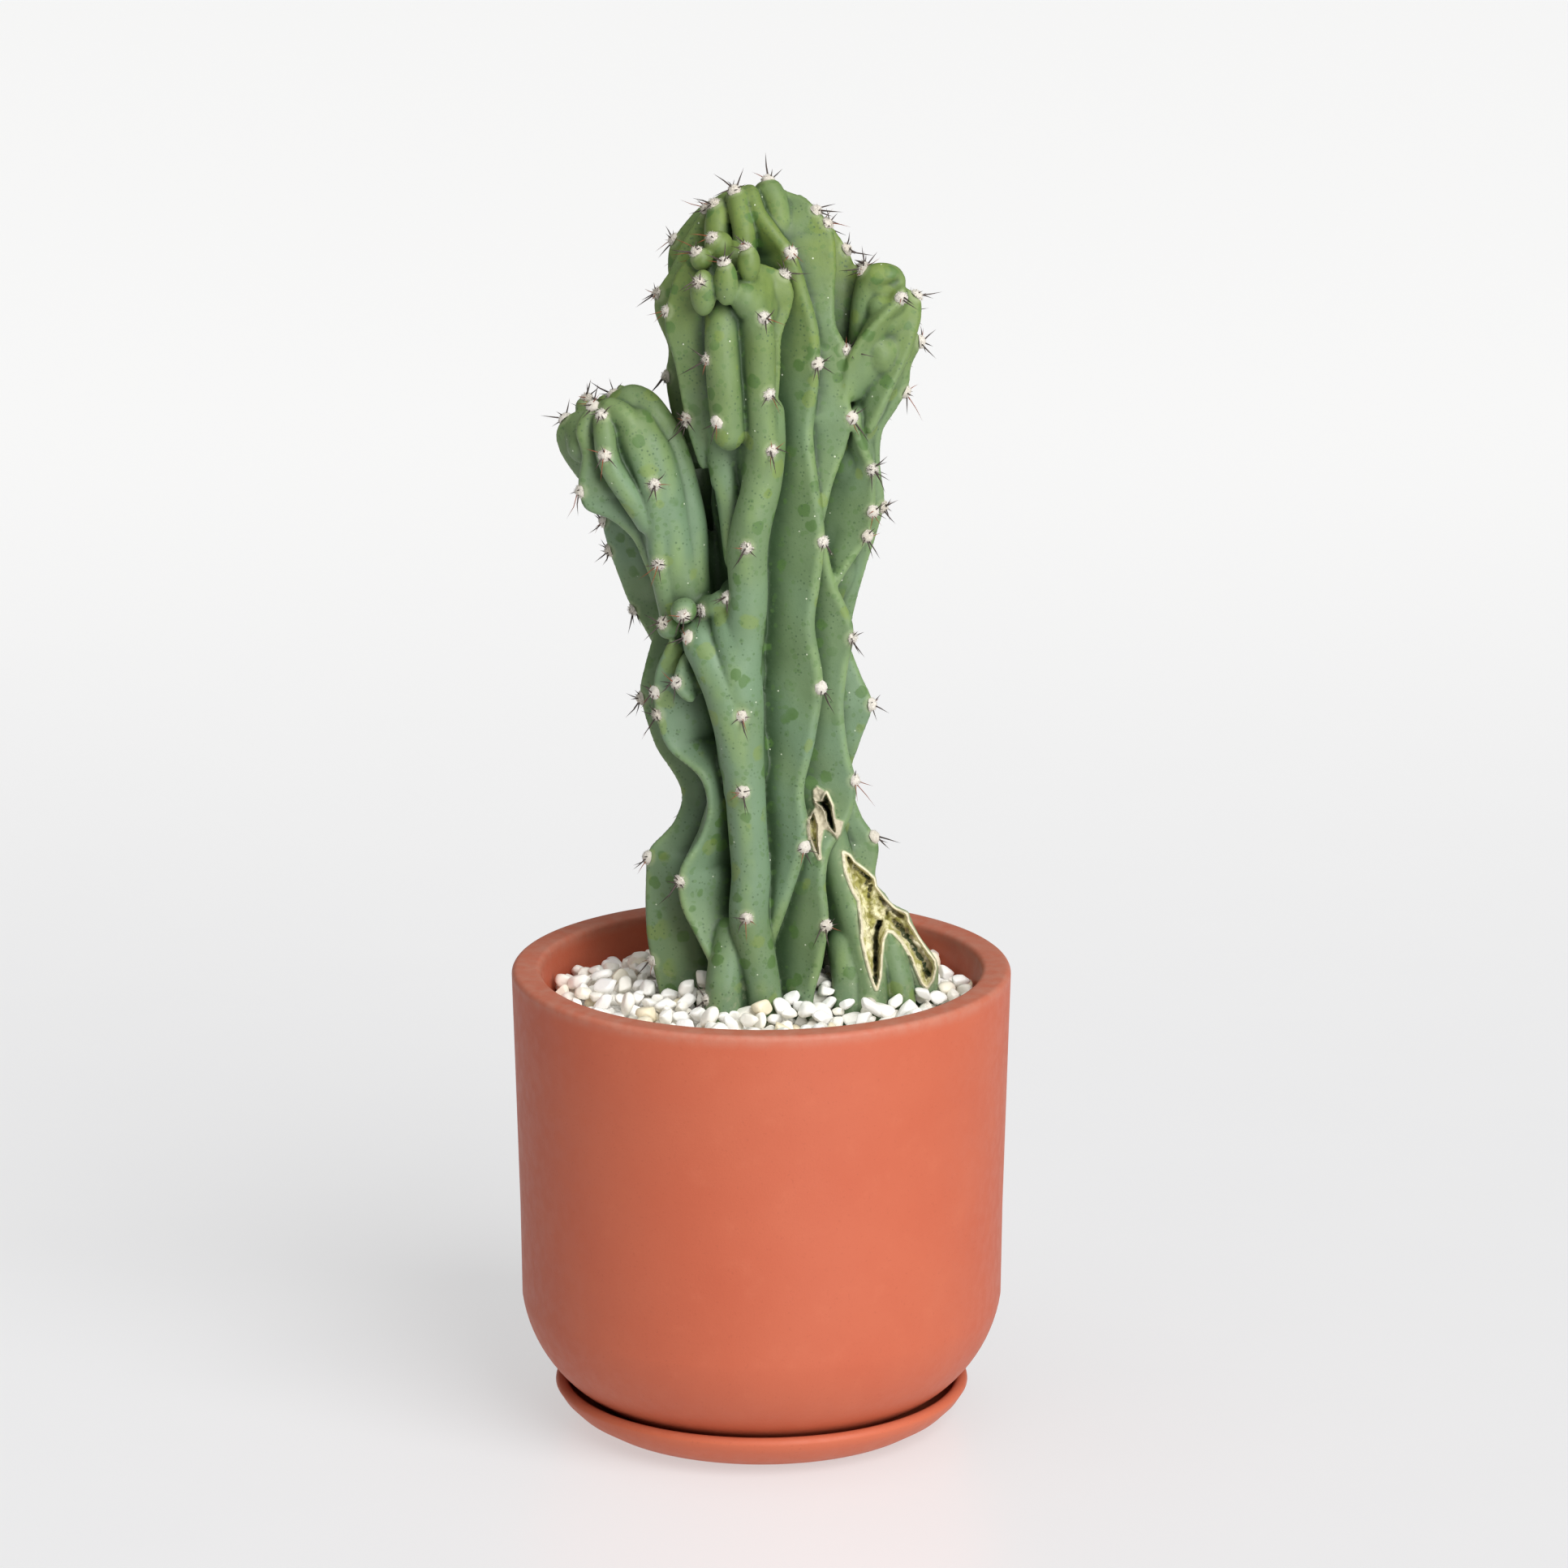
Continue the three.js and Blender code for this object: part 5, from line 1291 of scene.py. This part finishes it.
def turned(name, profile, material):
    """A body turned about the Z axis from a closed profile of (radius, height)."""
    vertices = []
    faces = []
    count = len(profile)
    for side in range(TURNED_SIDES):
        angle = math.tau * side / TURNED_SIDES
        vertices += [(r * math.cos(angle), r * math.sin(angle), h) for r, h in profile]
        here, there = side * count, (side + 1) % TURNED_SIDES * count
        for i in range(count):
            j = (i + 1) % count
            if profile[i][0] != 0 or profile[j][0] != 0:
                faces.append((here + i, there + i, there + j, here + j))
    piece = new_object(name, vertices, faces, material)
    modify(piece, "WELD", merge_threshold=WELD_REACH)
    piece.data.set_sharp_from_angle(angle=SHARP_EDGE)
    return piece


def clay_material(name, tone, dust_from, dust_to):
    """Unglazed terracotta: cloudy colour, fine pores, faint turning lines and a dusty edge."""
    clay = Finish(name, 0.55, Specular_IOR_Level=0.32)
    clay.colour = clay.mix(clay.noise(30, 4, 0.5), tone, "ba6145")
    clay.lay(clay.step(clay.noise(8, 5, 0.65), 0.5, 0.8, 0, 0.2), "c67255")
    grains = clay.step(clay.noise(0.9, 2, 0.6), 0.62, 0.72)
    clay.lay(clay.times(grains, 0.3), "9f4c35")
    patches = clay.step(clay.noise(5, 4, 0.6), 0.3, 0.7, 0.25, 0.6)
    dust = clay.times(clay.step(clay.coordinate("Z"), dust_from * MM, dust_to * MM), patches)
    clay.lay(dust, "b98a78")
    lines = clay.noise(1.4, 2, 0.5, stretch=(0.04, 0.04, 1))
    bumps = [(lines, 0.12, 0.2), (clay.noise(0.7, 3, 0.65), 0.35, 0.14), (clay.noise(9, 2), 0.15, 0.5)]
    return clay.finish(bumps, clay.step(clay.noise(4, 3), 0.3, 0.7, 0.48, 0.58))


# The pot's wall: heights along it, and where its foot curve ends, in degrees below the level
WALL_HEIGHTS = (70, 95, 120)
FOOT_END = -8


def make_pot():
    """One profile, up the outside, over the rounded rim and down the inside."""
    corner_height = SAUCER_FLOOR + POT_CORNER
    inner_corner = POT_CORNER - FLOOR_THICKNESS
    profile = [(DRAIN_RADIUS, SAUCER_FLOOR)]
    profile += arc(POT_FOOT, corner_height, POT_CORNER, -90, FOOT_END, 24)
    profile += [(inner_radius(h) + RIM_WIDTH, h) for h in WALL_HEIGHTS]
    profile += arc(POT_RADIUS - RIM_ROUND, POT_RIM - RIM_ROUND, RIM_ROUND, 0, 90, 6)
    profile += arc(POT_RADIUS - RIM_WIDTH + RIM_ROUND, POT_RIM - RIM_ROUND, RIM_ROUND, 90, 180, 6)
    profile += [(inner_radius(h), h) for h in reversed(WALL_HEIGHTS)]
    profile += arc(POT_FOOT, corner_height, inner_corner, FOOT_END, -90, 16)
    profile += [(DRAIN_RADIUS, SAUCER_FLOOR + FLOOR_THICKNESS)]
    material = clay_material("pot_terracotta", "b3553a", POT_RIM - 5, POT_RIM + 1)
    attach(turned("terracotta_pot", profile, material), "pot_clay", "pot")


def make_saucer():
    lip_radius = SAUCER_WALL / 2
    lip = arc(SAUCER_RADIUS - lip_radius, SAUCER_HEIGHT - lip_radius, lip_radius, 0, 180, 12)
    profile = SAUCER_UNDERSIDE + lip + SAUCER_DISH
    material = clay_material("saucer_terracotta", "bf6244", SAUCER_HEIGHT - 1, SAUCER_HEIGHT + 3)
    attach(turned("terracotta_saucer", profile, material), "saucer_clay", "saucer")


def dress_soil():
    earth = Finish("potting_soil", 0.95)
    earth.colour = earth.mix(earth.noise(2.5, 5, 0.7), "1d140e", "4b382a")
    earth.lay(earth.step(earth.cells(2.2), 0.16, 0.26, 1, 0), "6b5540")
    material = earth.finish([(earth.noise(1.6, 5, 0.7), 0.9, 1.0)])
    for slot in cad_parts["soil"].material_slots:
        slot.material = material


# Gravel: rounded pebbles poured round the plant and settled against each other
PEBBLE_SEED = 21
PEBBLE_COUNT = 640
PEBBLE_RADII = (2.0, 3.3)
GRAVEL_FLOOR = SOIL_TOP + 4
POUR_RADIUS = 66
INNERMOST = 0.02
POUR_HEIGHTS = (GRAVEL_FLOOR + 2, GRAVEL_FLOOR + 8)

# Settling: how far they sink a round, and the shares of their radii that touch and of an overlap that is
# pushed out
SETTLE_ROUNDS = 45
SINK = 0.12
TOUCH = 0.97
PUSH = 0.42
LONGEST_PUSH = 2
PLANT_TOUCH = 0.9
PLANT_LIFT = 0.3
FLOOR_TOUCH = 0.8
WALL_TOUCH = 0.95

# A pebble's form: flattened places at these shares of its radius, and its three half widths
FACETS = 12
FACET_LEVELS = (0.5, 0.85)
FACET_DEPTH = 0.8
HALF_WIDTHS = [(1.1, 1.45), (0.95, 1.15), (0.75, 0.95)]
TILT_SCATTER = 0.5


def settled_pebbles(random, grid):
    """Middles and radii of pebbles that rest on the soil, the wall, the plant and each other."""
    radii = random.uniform(*PEBBLE_RADII, PEBBLE_COUNT)
    turn = random.uniform(0, math.tau, PEBBLE_COUNT)
    reach = POUR_RADIUS * np.sqrt(random.uniform(INNERMOST, 1, PEBBLE_COUNT))
    height = random.uniform(*POUR_HEIGHTS, PEBBLE_COUNT)
    middles = np.stack([reach * np.cos(turn), reach * np.sin(turn), height], 1)
    for _ in range(SETTLE_ROUNDS):
        middles[:, 2] -= SINK
        apart = middles[:, None] - middles[None]
        away = np.linalg.norm(apart, axis=2) + 1e-6
        overlap = np.maximum(TOUCH * (radii[:, None] + radii[None]) - away, 0)
        np.fill_diagonal(overlap, 0)
        crowding = np.sum(apart * (overlap / away)[:, :, None], axis=1)
        middles += PUSH * crowding.clip(-LONGEST_PUSH, LONGEST_PUSH)
        sunk = np.maximum(radii * PLANT_TOUCH - grid.sample(middles), 0)
        way = grid.outward(middles)
        way[:, 2] *= PLANT_LIFT
        middles += way * sunk[:, None]
        middles[:, 2] = np.maximum(middles[:, 2], GRAVEL_FLOOR + FLOOR_TOUCH * radii)
        across = np.linalg.norm(middles[:, :2], axis=1)
        limit = inner_radius(middles[:, 2]) - WALL_TOUCH * radii
        middles[:, :2] *= np.minimum(1, limit / np.maximum(across, 1e-6))[:, None]
    return middles, radii


def round_mesh():
    """The vertices and faces of a fine unit sphere."""
    bpy.ops.mesh.primitive_ico_sphere_add(subdivisions=3, radius=1)
    ball = bpy.context.object
    vertices = np.array([vertex.co for vertex in ball.data.vertices])
    faces = np.array([face.vertices for face in ball.data.polygons])
    bpy.data.objects.remove(ball)
    return unit(vertices), faces


def pebble(random, sphere, radius):
    """A flattened, tilted and turned pebble with worn flat places."""
    shape = sphere.copy()
    for _ in range(FACETS):
        way = unit(random.normal(0, 1, 3))
        level = random.uniform(*FACET_LEVELS)
        proud = np.maximum(shape @ way - level, 0)
        shape -= FACET_DEPTH * proud[:, None] * way
    shape *= radius * np.array([random.uniform(*widths) for widths in HALF_WIDTHS])
    tilt = random.normal(0, TILT_SCATTER)
    spin = random.uniform(0, math.tau)
    x, y, z = shape.T
    x, z = x * math.cos(tilt) - z * math.sin(tilt), x * math.sin(tilt) + z * math.cos(tilt)
    x, y = x * math.cos(spin) - y * math.sin(spin), x * math.sin(spin) + y * math.cos(spin)
    return np.stack([x, y, z], 1)


def make_gravel(grid):
    """A flat bed with settled pebbles on it, in a left and a right piece."""
    random = np.random.default_rng(PEBBLE_SEED)
    middles, radii = settled_pebbles(random, grid)
    sphere, faces = round_mesh()
    left, right = Soup(), Soup()
    for middle, radius in zip(middles, radii):
        side = left if middle[0] < 0 else right
        side.add(pebble(random, sphere, radius) + middle, faces, random.uniform())
    stone = Finish("white_pebbles", 0.42, Coat_Weight=0.12, Coat_Roughness=0.3)
    tint = stone.attribute("tint")
    stone.colour = stone.mix(stone.step(tint, 0, 0.75), "fffefb", "f7f3e8")
    stone.lay(stone.step(tint, 0.86, 0.98, 0, 0.7), "ecdcb4")
    stone.lay(stone.step(tint, 0.993, 0.994, 0, 0.6), "c98f5a")
    stone.lay(stone.step(stone.noise(3, 5, 0.6, 1.0), 0.55, 0.75, 0, 0.25), "ddd2b8")
    material = stone.finish([(stone.noise(1.6, 4, 0.6), 0.35, 0.3), (stone.noise(0.35, 2), 0.15, 0.08)])
    bottom, edge = SOIL_TOP + GAP, inner_radius(SOIL_TOP) - GAP
    profile = [(0, bottom), (edge, bottom), (edge, GRAVEL_FLOOR), (0, GRAVEL_FLOOR)]
    attach(turned("gravel_bed", profile, material), "gravel", "gravel")
    attach(left.build("pebbles_left", material), "gravel", "gravel")
    attach(right.build("pebbles_right", material), "gravel", "gravel")


PLANT_SEED = 5

make_saucer()
make_pot()
dress_soil()
flesh = flesh_grid()
make_callus(flesh)
cut_tears(flesh)
areoles = areole_frames(flesh)
make_flesh(flesh, areoles[0])
plant_random = np.random.default_rng(PLANT_SEED)
make_felt(plant_random, areoles)
make_spines(plant_random, areoles)
make_gravel(flesh)
